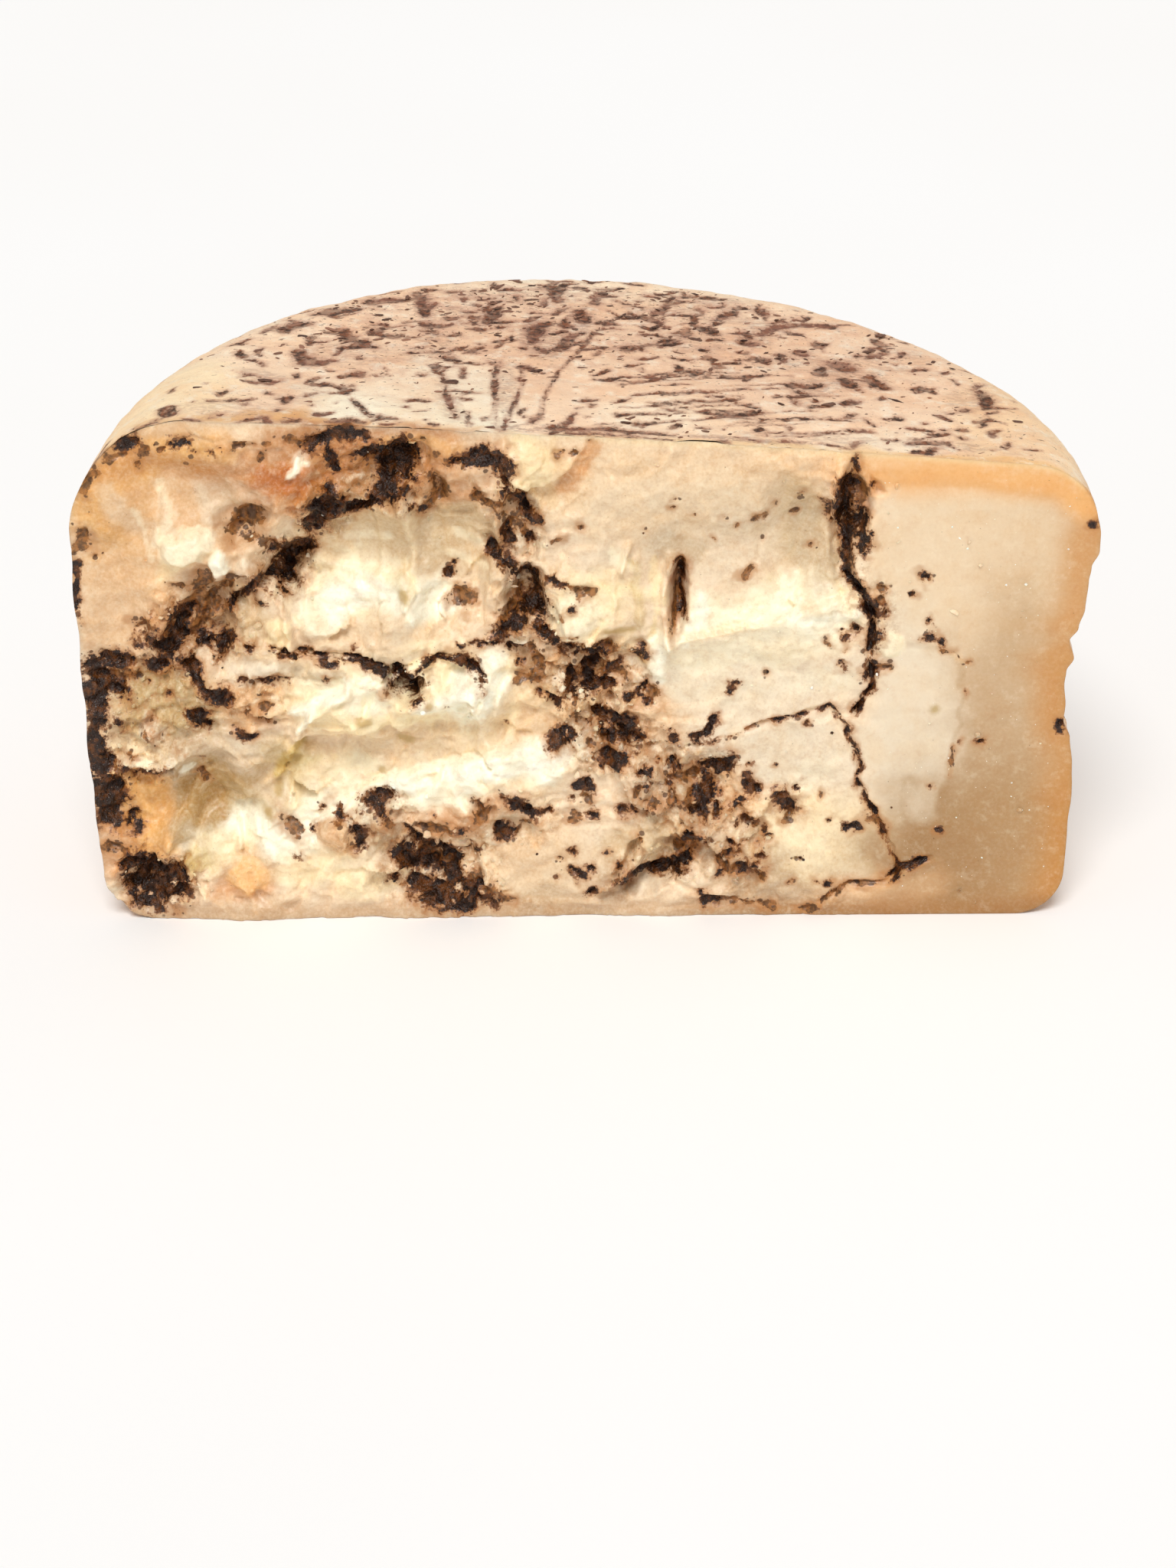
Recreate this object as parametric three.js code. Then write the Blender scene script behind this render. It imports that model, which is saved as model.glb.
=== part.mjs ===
// Half wheel of a hard sheep's-milk cheese with dark crumbly veins, resting on its flat face.
// The wheel was split across its middle: the right third of the cut face is sliced smooth, the
// rest is broken open into hollows, ledges and cracks. The rind keeps the soft shoulders, the
// sloping top and the worn right side of a wheel that settled while it ripened.
//
// Units are millimetres, +Z is up and the cut face looks along -Y. Features of the cut face are
// placed by x, measured sideways from the wheel's axis, and z, measured up from the resting face.

import * as THREE from 'three';
import { mergeVertices } from 'three/addons/utils/BufferGeometryUtils.js';

// ---------------------------------------------------------------- driving dimensions

const RADIUS = 130;
const HEIGHT = 134.5;
const TOP_SLOPE_X = -0.065;
const TOP_SLOPE_Y = 0.01;
const TOP_DOME = 2;
const SHOULDER_LEFT = 33;
const SHOULDER_BACK = 16;
const SHOULDER_RIGHT = 16;
const FOOT_RADIUS = 13;

// How far the right side stands in from a straight side: height and offset.
const RIGHT_SIDE = [
  [0, -6.5], [28, -5.4], [38, -4.6], [47, -4.8], [55, -5.6], [60, -7.4], [65, -7], [71, -7.5],
  [75, -7.1], [79, -5.3], [84, -6.6], [88, -4.4], [94, -2.9], [101, -2.4], [106, -1.7], [111, 0.2],
  [116, 0.3], [121, -0.4], [134.5, -0.4],
];
const FOOT_TAPER = 1.5;
const RIND_RIPPLE = 0.35;
const RIND_RIPPLE_PITCH = 21;

const CRAG_HEIGHT = 1.7;
const CRAG_SIZE = 15;
const SLICED_FROM = 62;
const SLICED_TO = 80;
const RIM_FADE = 7;
const RIM_KEEP = 0.35;

const AXIS_X = 0.03;
const AXIS_Y = -62.6;

const FACE_COLUMNS = 76;
const FACE_ROWS = 44;
const DEPTH_COLUMNS = 12;

// The foot bears on a flat with these corners, given as u and v on the foot's own mesh, and curls
// up from it to its rim, by FOOT_CURL of the distance.
const FOOT_CURL = 0.012;
const FOOT_CURL_HEIGHT = 20;
const BEARING_CORNERS = [
  [-15 / 19, 1 / 12],
  [15 / 19, 1 / 12],
  [8 / 19, 9 / 12],
  [-8 / 19, 9 / 12],
];

// ---------------------------------------------------------------- the broken face

// Bowls broken out of the face: centre, half axes, turn in degrees and depth.
const HOLLOWS = [
  { at: [-60, 101], half: [21, 19], turn: 20, depth: 11 },
  { at: [-34, 103], half: [13, 22], turn: 8, depth: 9 },
  { at: [-46, 70], half: [5.5, 6], turn: 0, depth: 11 },
  { at: [-35, 72], half: [8, 6.5], turn: 0, depth: 5 },
  { at: [-99, 34], half: [17, 16], turn: -30, depth: 9 },
  { at: [-117, 32], half: [9, 12], turn: 0, depth: 5 },
  { at: [-78, 45], half: [11, 8], turn: 40, depth: 5 },
  { at: [-14, 92], half: [7, 11], turn: -12, depth: 9 },
  { at: [-17, 111], half: [8, 14], turn: -15, depth: 5 },
  { at: [-97, 87], half: [19, 8], turn: 35, depth: 6 },
  { at: [-75, 101], half: [8, 9], turn: 0, depth: 6 },
  { at: [-86, 113], half: [8, 7], turn: 0, depth: 4.5 },
  { at: [-48, 128], half: [9, 9], turn: 0, depth: 5 },
  { at: [56, 108], half: [13, 20], turn: 10, depth: 5 },
  { at: [35, 103], half: [32, 20], turn: 8, depth: 3 },
  { at: [23.5, 92], half: [3.4, 12], turn: -4, depth: 8 },
  { at: [67, 112], half: [5.5, 17], turn: -4, depth: 6 },
  { at: [2, 72], half: [14, 9], turn: -10, depth: 4.5 },
  { at: [8, 54], half: [12, 9], turn: -30, depth: 3.5 },
  { at: [31, 39], half: [9, 11], turn: -20, depth: 4 },
  { at: [18, 15], half: [17, 6], turn: 22, depth: 6.5 },
  { at: [-43, 15], half: [16, 12], turn: -25, depth: 6 },
  { at: [-117, 12], half: [12, 9], turn: 0, depth: 5.5 },
  { at: [-22, 26], half: [8, 6], turn: 0, depth: 3.5 },
  { at: [-45, 50], half: [45, 11], turn: 14, depth: 4.5 },
  { at: [-100, 124], half: [17, 10], turn: -10, depth: 2.5 },
];

// Lumps that stand proud where the paste held together.
const LUMPS = [
  { at: [-57, 65], half: [38, 13], turn: 4, height: 3.2 },
  { at: [-97, 106], half: [11, 6], turn: 12, height: 2 },
  { at: [-20, 63], half: [15, 12], turn: 30, height: 2 },
  { at: [-20, 38], half: [42, 13], turn: 22, height: 1.6 },
  { at: [-2, 89], half: [9, 10], turn: 0, height: 2.2 },
  { at: [46, 82], half: [27, 8], turn: 12, height: 1.8 },
  { at: [-115, 56], half: [11, 9], turn: 0, height: 1.8 },
  { at: [-66, 26], half: [10, 8], turn: 30, height: 1.5 },
];

// Steps along a broken edge: the ground on the chosen side of the path stands proud by height
// and runs back to the face over reach. 'left' and 'right' are seen walking along the path.
const LEDGES = [
  {
    path: [[-84, 79], [-69, 77], [-58, 76], [-49, 73], [-40, 77], [-31, 76], [-26, 71]],
    side: 'right', height: 3.6, reach: 14,
  },
  { path: [[64, 127], [63, 113], [66, 102], [71, 93]], side: 'left', height: 3, reach: 16 },
  { path: [[22, 81], [45, 86], [70, 93]], side: 'right', height: 2.6, reach: 11 },
  { path: [[-124, 43], [-112, 44], [-104, 49]], side: 'left', height: 3, reach: 10 },
  { path: [[3, 9], [17, 13], [25, 18], [32, 26]], side: 'left', height: 3, reach: 11 },
  {
    path: [[58, 2], [66, 9], [78, 9.5], [84, 15], [98, 18], [112, 15]],
    side: 'right', height: 1.6, reach: 12,
  },
];

// Cracks: a path, the width across the lips and the depth.
const CRACKS = [
  {
    path: [[68.5, 131], [66, 114], [67, 101], [73.5, 88], [72.5, 73], [73.5, 67], [69, 59]],
    width: 4.4, depth: 3.6,
  },
  {
    path: [[41, 54.5], [51, 58], [62, 61], [67, 54], [70, 44], [70, 38], [76, 27], [81, 14.5]],
    width: 3.8, depth: 2.6,
  },
  { path: [[60, 4], [66, 9], [78, 9.5], [81, 14.5], [89, 17]], width: 3.6, depth: 1.8 },
  { path: [[-80, 78.5], [-58, 76], [-49, 73], [-40, 76.5], [-26, 71.5]], width: 4.2, depth: 3.6 },
  { path: [[-96, 70], [-84, 71], [-70, 70.5]], width: 3.6, depth: 1.6 },
];

// Repeatable grain of the broken paste, from -1 to 1.
function latticeValue(ix, iz) {
  let n = Math.imul(ix, 374761393) + Math.imul(iz, 668265263);
  n = Math.imul(n ^ (n >>> 13), 1274126177);
  n = (n ^ (n >>> 16)) >>> 0;
  return n / 2147483648 - 1;
}

function grain(x, z) {
  const ix = Math.floor(x);
  const iz = Math.floor(z);
  const fx = THREE.MathUtils.smoothstep(x - ix, 0, 1);
  const fz = THREE.MathUtils.smoothstep(z - iz, 0, 1);
  const low = THREE.MathUtils.lerp(latticeValue(ix, iz), latticeValue(ix + 1, iz), fx);
  const high = THREE.MathUtils.lerp(latticeValue(ix, iz + 1), latticeValue(ix + 1, iz + 1), fx);
  return THREE.MathUtils.lerp(low, high, fz);
}

// 1 at the centre of an ellipse, falling as a bowl to 0 at its rim.
function dish(x, z, { at, half, turn }) {
  const angle = THREE.MathUtils.degToRad(turn);
  const dx = x - at[0];
  const dz = z - at[1];
  const along = (dx * Math.cos(angle) + dz * Math.sin(angle)) / half[0];
  const across = (dz * Math.cos(angle) - dx * Math.sin(angle)) / half[1];
  return Math.max(0, 1 - along * along - across * across);
}

// Distance to a path, positive on its left side.
function signedDistance(x, z, path) {
  let nearest = Infinity;
  let sign = 1;
  for (let i = 1; i < path.length; i += 1) {
    const [ax, az] = path[i - 1];
    const dx = path[i][0] - ax;
    const dz = path[i][1] - az;
    const t = THREE.MathUtils.clamp(((x - ax) * dx + (z - az) * dz) / (dx * dx + dz * dz), 0, 1);
    const distance = Math.hypot(x - ax - t * dx, z - az - t * dz);
    if (distance < nearest) {
      nearest = distance;
      sign = dx * (z - az) - dz * (x - ax) >= 0 ? 1 : -1;
    }
  }
  return sign * nearest;
}

function ledge(x, z, { path, side, height, reach }) {
  const distance = signedDistance(x, z, path) * (side === 'left' ? 1 : -1);
  if (distance < 0 || distance > reach) {
    return 0;
  }
  const fall = 1 - distance / reach;
  return height * fall * fall;
}

function crack(x, z, { path, width, depth }) {
  const distance = Math.abs(signedDistance(x, z, path));
  return depth * Math.max(0, 1 - (2 * distance) / width);
}

// How far the cut face stands out from its plane at (x, z); hollows are negative.
function faceRelief(x, z) {
  let out = 0;
  for (const hollow of HOLLOWS) {
    out -= hollow.depth * dish(x, z, hollow);
  }
  for (const lump of LUMPS) {
    out += lump.height * dish(x, z, lump);
  }
  for (const edge of LEDGES) {
    out += ledge(x, z, edge);
  }
  for (const line of CRACKS) {
    out -= crack(x, z, line);
  }
  const broken = 1 - THREE.MathUtils.smoothstep(x, SLICED_FROM, SLICED_TO);
  const coarse = grain(x / CRAG_SIZE, z / CRAG_SIZE);
  const fine = grain((2 * x) / CRAG_SIZE, (2 * z) / CRAG_SIZE);
  const crags = coarse + 0.5 * fine;
  return out + CRAG_HEIGHT * broken * crags;
}

// ---------------------------------------------------------------- the wheel

function shoulderRadius(angle) {
  const right = Math.max(0, Math.cos(angle)) ** 2;
  const left = Math.max(0, -Math.cos(angle)) ** 2;
  return SHOULDER_BACK + (SHOULDER_RIGHT - SHOULDER_BACK) * right + (SHOULDER_LEFT - SHOULDER_BACK) * left;
}

// Radius and height of the side wall. t runs from -1, halfway round the foot's corner, to 1,
// halfway round the shoulder.
function wallPoint(t, angle) {
  const shoulder = shoulderRadius(angle);
  const footArc = (FOOT_RADIUS * Math.PI) / 4;
  const shoulderArc = (shoulder * Math.PI) / 4;
  const straight = HEIGHT - FOOT_RADIUS - shoulder;
  const s = ((t + 1) / 2) * (footArc + straight + shoulderArc);
  if (s < footArc) {
    const bend = Math.PI / 4 - s / FOOT_RADIUS;
    return [RADIUS - FOOT_RADIUS * (1 - Math.cos(bend)), FOOT_RADIUS * (1 - Math.sin(bend))];
  }
  if (s < footArc + straight) {
    return [RADIUS, FOOT_RADIUS + s - footArc];
  }
  const bend = (s - footArc - straight) / shoulder;
  return [RADIUS - shoulder * (1 - Math.cos(bend)), HEIGHT - shoulder * (1 - Math.sin(bend))];
}

// Radius and drop from the flat of the top or the foot. t runs from 0 on the axis to 1, halfway
// round the corner.
function capPoint(t, corner) {
  const flat = RADIUS - corner;
  const s = t * (flat + (corner * Math.PI) / 4);
  if (s < flat) {
    return [s, 0];
  }
  const bend = (s - flat) / corner;
  return [flat + corner * Math.sin(bend), corner * (1 - Math.cos(bend))];
}

// Offset of the worn right side at height z.
function wornSide(z) {
  let k = 0;
  while (k < RIGHT_SIDE.length - 2 && RIGHT_SIDE[k + 1][0] <= z) {
    k += 1;
  }
  const [z0, low] = RIGHT_SIDE[k];
  const [z1, high] = RIGHT_SIDE[k + 1];
  return THREE.MathUtils.lerp(low, high, THREE.MathUtils.smoothstep(z, z0, z1));
}

// Change of radius round the side: the wear of the right side fades into the taper at the foot
// and the faint ripple that the draining basket left on the rest.
function rindShape(z, angle) {
  const right = Math.max(0, Math.cos(angle)) ** 1.5;
  const taper = THREE.MathUtils.smoothstep(HEIGHT / 3 - z, 0, HEIGHT / 3);
  const inWall = Math.sin(Math.PI * THREE.MathUtils.clamp(z / HEIGHT, 0, 1));
  const ripple = Math.sin((2 * Math.PI * z) / RIND_RIPPLE_PITCH + 2 * Math.sin(3 * angle)) * inWall;
  return right * wornSide(z) + (1 - right) * (RIND_RIPPLE * ripple - FOOT_TAPER * taper);
}

// Moves a point of the plain drum in or out to the rind's own shape.
function shrink(x, y, z) {
  const widen = 1 + rindShape(z, Math.atan2(y, x)) / RADIUS;
  return [x * widen, y * widen];
}

// The half disc's own direction and reach at (u, v), as an angle and a share of the radius.
function plan(u, v) {
  const ux = u * Math.sqrt(1 - (v * v) / 2);
  const uy = v * Math.sqrt(1 - (u * u) / 2);
  return [Math.atan2(uy, ux), Math.hypot(ux, uy)];
}

const bearing = BEARING_CORNERS.map(([u, v]) => {
  const [angle, span] = plan(u, v);
  const [r, drop] = capPoint(span, FOOT_RADIUS);
  return shrink(r * Math.cos(angle), r * Math.sin(angle), drop);
});

// How far the foot curls up at (x, y) outside the flat that it bears on.
function footCurl(x, y) {
  let outside = 0;
  for (let i = 0; i < bearing.length; i += 1) {
    const [ax, ay] = bearing[i];
    const [bx, by] = bearing[(i + 1) % bearing.length];
    const across = (x - ax) * (by - ay) - (y - ay) * (bx - ax);
    outside = Math.max(outside, across / Math.hypot(bx - ax, by - ay));
  }
  return FOOT_CURL * outside;
}

// Turns a point of the plain drum into one of the settled wheel.
function settle(x, y, z) {
  const [px, py] = shrink(x, y, z);
  const spread = Math.min(1, (px * px + py * py) / (RADIUS * RADIUS));
  const rise = TOP_SLOPE_X * px + TOP_SLOPE_Y * py + TOP_DOME * (1 - spread);
  const curl = footCurl(px, py) * Math.max(0, 1 - z / FOOT_CURL_HEIGHT);
  return [px, py, z + (z / HEIGHT) * rise + curl];
}

// u runs left to right and w bottom to top, each from -1 to 1; v runs from 0 on the cut to 1 at
// the back. One of them is always at an end, so the point lies on the skin of the half wheel.
function skinPoint(u, v, w) {
  const [angle, span] = plan(u, v);
  if (w === 1 || w === -1) {
    const corner = w === 1 ? shoulderRadius(angle) : FOOT_RADIUS;
    const [r, drop] = capPoint(span, corner);
    return settle(r * Math.cos(angle), r * Math.sin(angle), w === 1 ? HEIGHT - drop : drop);
  }
  const [r, z] = wallPoint(w, angle);
  return settle(r * Math.cos(angle), r * Math.sin(angle), z);
}

// The flat of the cut, blended between its four edges.
function cutPoint(u, w) {
  const s = (u + 1) / 2;
  const t = (w + 1) / 2;
  const left = skinPoint(-1, 0, w);
  const right = skinPoint(1, 0, w);
  const low = skinPoint(u, 0, -1);
  const high = skinPoint(u, 0, 1);
  const corners = [skinPoint(-1, 0, -1), skinPoint(1, 0, -1), skinPoint(-1, 0, 1), skinPoint(1, 0, 1)];
  return [0, 1, 2].map((k) => {
    const sides = (1 - s) * left[k] + s * right[k];
    const ends = (1 - t) * low[k] + t * high[k];
    const near = (1 - t) * ((1 - s) * corners[0][k] + s * corners[1][k]);
    const far = t * ((1 - s) * corners[2][k] + s * corners[3][k]);
    return sides + ends - near - far;
  });
}

function facePoint(u, w) {
  const [x, , z] = cutPoint(u, w);
  const top = skinPoint(u, 0, 1)[2];
  const rim = Math.min(top - z, z, RADIUS - Math.abs(x));
  const keep = RIM_KEEP + (1 - RIM_KEEP) * THREE.MathUtils.smoothstep(rim, 0, RIM_FADE);
  return [x, -keep * faceRelief(x, z), z];
}

// ---------------------------------------------------------------- the mesh

// The face is meshed twice as finely as the rind, so the rind's first row takes two face
// vertices for each of its own.
function buildTriangles() {
  const corners = [];
  const columns = FACE_COLUMNS / 2;
  const rows = FACE_ROWS / 2;

  const faceVertex = (i, j) => facePoint((2 * i) / FACE_COLUMNS - 1, (2 * j) / FACE_ROWS - 1);
  const add = (a, b, c) => corners.push(...a, ...b, ...c);
  const quad = (a, b, c, d) => {
    add(a, b, c);
    add(a, c, d);
  };

  for (let i = 0; i < FACE_COLUMNS; i += 1) {
    for (let j = 0; j < FACE_ROWS; j += 1) {
      quad(faceVertex(i, j), faceVertex(i + 1, j), faceVertex(i + 1, j + 1), faceVertex(i, j + 1));
    }
  }

  // One sheet of rind from the cut edge back. edge(k) gives the fine vertices along the cut and
  // inner(i, m) the coarse ones behind it, so that the sheet faces out along edge x depth.
  const sheet = (count, edge, inner) => {
    for (let i = 0; i < count; i += 1) {
      const near = inner(i, 1);
      const next = inner(i + 1, 1);
      add(edge(2 * i), edge(2 * i + 1), near);
      add(edge(2 * i + 1), next, near);
      add(edge(2 * i + 1), edge(2 * i + 2), next);
      for (let m = 1; m < DEPTH_COLUMNS; m += 1) {
        quad(inner(i, m), inner(i + 1, m), inner(i + 1, m + 1), inner(i, m + 1));
      }
    }
  };

  const across = (i) => (2 * i) / columns - 1;
  const up = (j) => (2 * j) / rows - 1;
  const back = (m) => m / DEPTH_COLUMNS;
  sheet(columns, (k) => faceVertex(k, FACE_ROWS), (i, m) => skinPoint(across(i), back(m), 1));
  sheet(
    columns,
    (k) => faceVertex(FACE_COLUMNS - k, 0),
    (i, m) => skinPoint(across(columns - i), back(m), -1),
  );
  sheet(rows, (k) => faceVertex(0, k), (j, m) => skinPoint(-1, back(m), up(j)));
  sheet(rows, (k) => faceVertex(FACE_COLUMNS, FACE_ROWS - k), (j, m) => skinPoint(1, back(m), up(rows - j)));

  for (let i = 0; i < columns; i += 1) {
    for (let j = 0; j < rows; j += 1) {
      quad(
        skinPoint(across(i + 1), 1, up(j)),
        skinPoint(across(i), 1, up(j)),
        skinPoint(across(i), 1, up(j + 1)),
        skinPoint(across(i + 1), 1, up(j + 1)),
      );
    }
  }
  return corners;
}

function buildCheese() {
  const geometry = new THREE.BufferGeometry();
  geometry.setAttribute('position', new THREE.Float32BufferAttribute(buildTriangles(), 3));
  const closed = mergeVertices(geometry, 0.001);
  closed.computeVertexNormals();
  const paste = new THREE.MeshStandardMaterial({ color: '#e6cda0', roughness: 0.55, metalness: 0 });
  const cheese = new THREE.Mesh(closed, paste);
  cheese.name = 'cheese';
  cheese.position.set(AXIS_X, AXIS_Y, 0);
  return cheese;
}

const wheel = new THREE.Group();
wheel.add(buildCheese());

export default wheel;
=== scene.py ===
import math

import bpy
import numpy as np
from mathutils import Matrix


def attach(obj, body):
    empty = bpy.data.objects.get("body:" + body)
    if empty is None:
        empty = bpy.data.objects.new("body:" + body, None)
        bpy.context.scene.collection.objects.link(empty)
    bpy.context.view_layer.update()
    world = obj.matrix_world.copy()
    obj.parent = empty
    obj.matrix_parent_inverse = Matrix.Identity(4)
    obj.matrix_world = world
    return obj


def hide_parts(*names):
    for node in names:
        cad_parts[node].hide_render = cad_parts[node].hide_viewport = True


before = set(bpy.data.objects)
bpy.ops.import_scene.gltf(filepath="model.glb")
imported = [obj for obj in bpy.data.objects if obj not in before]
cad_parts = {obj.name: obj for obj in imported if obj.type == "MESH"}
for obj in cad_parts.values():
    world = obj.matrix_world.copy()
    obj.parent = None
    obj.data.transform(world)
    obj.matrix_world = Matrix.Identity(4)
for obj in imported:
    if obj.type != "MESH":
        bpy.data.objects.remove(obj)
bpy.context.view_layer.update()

MM = 0.001

# ------------------------------------------------------------------ driving dimensions, mm
RADIUS = 130.0
HEIGHT = 134.5
TOP_SLOPE_X = -0.065
TOP_SLOPE_Y = 0.01
TOP_DOME = 2.0
SHOULDER_LEFT = 33.0
SHOULDER_BACK = 16.0
SHOULDER_RIGHT = 16.0
FOOT_RADIUS = 13.0
# How far the right side stands in from a straight side: height, offset
RIGHT_SIDE = [
    (0, -6.5), (28, -5.4), (38, -4.6), (47, -4.8), (55, -5.6), (60, -7.4), (65, -7), (71, -7.5), (75, -7.1),
    (79, -5.3), (84, -6.6), (88, -4.4), (94, -2.9), (101, -2.4), (106, -1.7), (111, 0.2), (116, 0.3), (121, -0.4),
    (134.5, -0.4),
]
FOOT_TAPER = 1.5
RIND_RIPPLE = 0.35
RIND_RIPPLE_PITCH = 21.0
CRAG_HEIGHT = 1.7
CRAG_SIZE = 15.0
SLICED_FROM = 62.0
SLICED_TO = 80.0
RIM_FADE = 7.0
RIM_KEEP = 0.35
AXIS_X = 0.03
AXIS_Y = -62.6
FOOT_CURL = 0.012
FOOT_CURL_HEIGHT = 20.0
STROKE_EDGE = 0.4
STROKE_SHARE = 0.45

# Cells of the visible meshes: the cut face, and the rind at half that count.
FACE_COLUMNS = 420
FACE_ROWS = 224
DEPTH_COLUMNS = 104

# ------------------------------------------------------------------ the broken face, as in the solid
# x, z, half width, half height, turn in degrees, depth
HOLLOWS = [
    (-60, 101, 21, 19, 20, 11), (-34, 103, 13, 22, 8, 9), (-46, 70, 5.5, 6, 0, 11),
    (-35, 72, 8, 6.5, 0, 5), (-99, 34, 17, 16, -30, 9), (-117, 32, 9, 12, 0, 5),
    (-78, 45, 11, 8, 40, 5), (-14, 92, 7, 11, -12, 9), (-17, 111, 8, 14, -15, 5),
    (-97, 87, 19, 8, 35, 6), (-75, 101, 8, 9, 0, 6), (-86, 113, 8, 7, 0, 4.5),
    (-48, 128, 9, 9, 0, 5), (56, 108, 13, 20, 10, 5), (35, 103, 32, 20, 8, 3),
    (23.5, 92, 3.4, 12, -4, 8), (67, 112, 5.5, 17, -4, 6), (2, 72, 14, 9, -10, 4.5),
    (8, 54, 12, 9, -30, 3.5), (31, 39, 9, 11, -20, 4), (18, 15, 17, 6, 22, 6.5),
    (-43, 15, 16, 12, -25, 6), (-117, 12, 12, 9, 0, 5.5), (-22, 26, 8, 6, 0, 3.5),
    (-45, 50, 45, 11, 14, 4.5), (-100, 124, 17, 10, -10, 2.5),
]
# x, z, half width, half height, turn, height
LUMPS = [
    (-57, 65, 38, 13, 4, 3.2), (-97, 106, 11, 6, 12, 2), (-20, 63, 15, 12, 30, 2),
    (-20, 38, 42, 13, 22, 1.6), (-2, 89, 9, 10, 0, 2.2), (46, 82, 27, 8, 12, 1.8),
    (-115, 56, 11, 9, 0, 1.8), (-66, 26, 10, 8, 30, 1.5),
]
# path, which side stands proud (1 left, -1 right), height, reach
LEDGES = [
    ([(-84, 79), (-69, 77), (-58, 76), (-49, 73), (-40, 77), (-31, 76), (-26, 71)], -1, 3.6, 14),
    ([(64, 127), (63, 113), (66, 102), (71, 93)], 1, 3, 16),
    ([(22, 81), (45, 86), (70, 93)], -1, 2.6, 11),
    ([(-124, 43), (-112, 44), (-104, 49)], 1, 3, 10),
    ([(3, 9), (17, 13), (25, 18), (32, 26)], 1, 3, 11),
    ([(58, 2), (66, 9), (78, 9.5), (84, 15), (98, 18), (112, 15)], -1, 1.6, 12),
]
# path, width, depth
CRACKS = [
    ([(68.5, 131), (66, 114), (67, 101), (73.5, 88), (72.5, 73), (73.5, 67), (69, 59)], 4.4, 3.6),
    ([(41, 54.5), (51, 58), (62, 61), (67, 54), (70, 44), (70, 38), (76, 27), (81, 14.5)], 3.8, 2.6),
    ([(60, 4), (66, 9), (78, 9.5), (81, 14.5), (89, 17)], 3.6, 1.8),
    ([(-80, 78.5), (-58, 76), (-49, 73), (-40, 76.5), (-26, 71.5)], 4.2, 3.6),
    ([(-96, 70), (-84, 71), (-70, 70.5)], 3.6, 1.6),
]

# Smaller forms that only the fine mesh holds.
# Thin standing edges of paste: path, width, height
FINS = [
    ([(-77.5, 91), (-76, 84), (-75, 77)], 3.2, 2.6),
    ([(-77, 50), (-75, 57), (-70, 63), (-61, 68)], 4.5, 2.0),
    ([(-45, 119), (-43.5, 106), (-42, 95)], 6, 1.6),
    ([(-109, 41), (-103, 41.3)], 1.8, 1.4),
    ([(9.5, 100), (11.5, 107)], 2.6, 1.8),
    ([(7.5, 99), (8, 87)], 2.6, 1.0),
    ([(13.5, 103), (14, 86)], 3.4, 1.0),
    ([(21.4, 81), (21.4, 92), (22.4, 102)], 5.2, 3.6),
    ([(-28.5, 50), (-27.5, 60), (-29, 66)], 3, 1.0),
    ([(-9, 84), (-17, 83), (-25, 81)], 2.4, 1.4),
    ([(-42, 63), (-36, 64.5), (-29, 69), (-23, 75.6)], 8, 1.2),
    ([(-106.7, 122), (-107.7, 108.7)], 2.4, 0.6),
    ([(-91, 129), (-86, 120), (-89, 113)], 4, 0.6),
]
# Torn steps: path, which side stands proud (1 left, -1 right), height, reach
STEPS = [
    ([(-76, 62), (-70, 66), (-63, 68.5), (-61, 72), (-51, 70), (-46.7, 67.5)], -1, 2.2, 9),
    ([(-70.4, 63), (-73.8, 56.6), (-74.8, 50.8), (-78.1, 46), (-81, 41)], -1, 2.0, 6),
    ([(-74, 27.5), (-55.4, 39), (-36.5, 45.5), (-13.4, 52)], -1, 2.2, 9),
    ([(-27, 60), (-26.8, 48.7)], 1, 0.9, 5),
    ([(-36.1, 75), (-36.3, 68.5)], -1, 0.8, 5),
    ([(-43.6, 119), (-43.6, 98), (-45, 93)], -1, 1.5, 10),
    ([(-22.2, 112), (-21.3, 97.5), (-22.4, 83)], 1, 2.6, 8),
    ([(-19.3, 134), (-19.3, 126.8), (-12.7, 121.7), (-6, 125), (1, 133.2)], 1, 2.2, 8),
    ([(-107.4, 42.8), (-106.4, 34), (-110.4, 21.8)], -1, 1.5, 6),
    ([(-66, 84), (-52, 85.5), (-41, 89), (-36, 86), (-30, 83)], -1, 1.2, 7),
    ([(-94, 117), (-87, 119.5), (-83, 125)], -1, 1.0, 7),
    ([(-6, 96), (-7, 88), (-4, 80), (4, 78.6)], 1, 1.6, 7),
    ([(14.3, 98), (14.3, 89), (15, 80), (18, 72)], 1, 1.0, 6),
    ([(21, 80.5), (28, 84), (46, 88)], -1, 0.8, 6),
    ([(-53, 117), (-51.5, 105), (-53, 97)], 1, 1.5, 9), ([(-36, 114), (-34.6, 101)], 1, 1.3, 7),
    ([(-29.5, 109), (-28, 95), (-29, 86)], -1, 1.2, 6), ([(-72, 103), (-62, 98), (-50, 96.6), (-44, 99)], -1, 1.7, 8),
    ([(-66, 110), (-60, 102), (-57, 95)], -1, 1.1, 7), ([(-41, 96), (-30, 93.4), (-24, 95)], -1, 1.2, 6),
    ([(-62, 62), (-56, 55), (-50, 51)], -1, 1.0, 6), ([(-46, 66), (-44, 58), (-40, 52)], 1, 0.9, 6),
    ([(30, 121), (32, 112), (31, 104)], -1, 0.8, 7), ([(44, 118), (47, 108), (45, 99)], 1, 0.8, 7),
]
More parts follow.
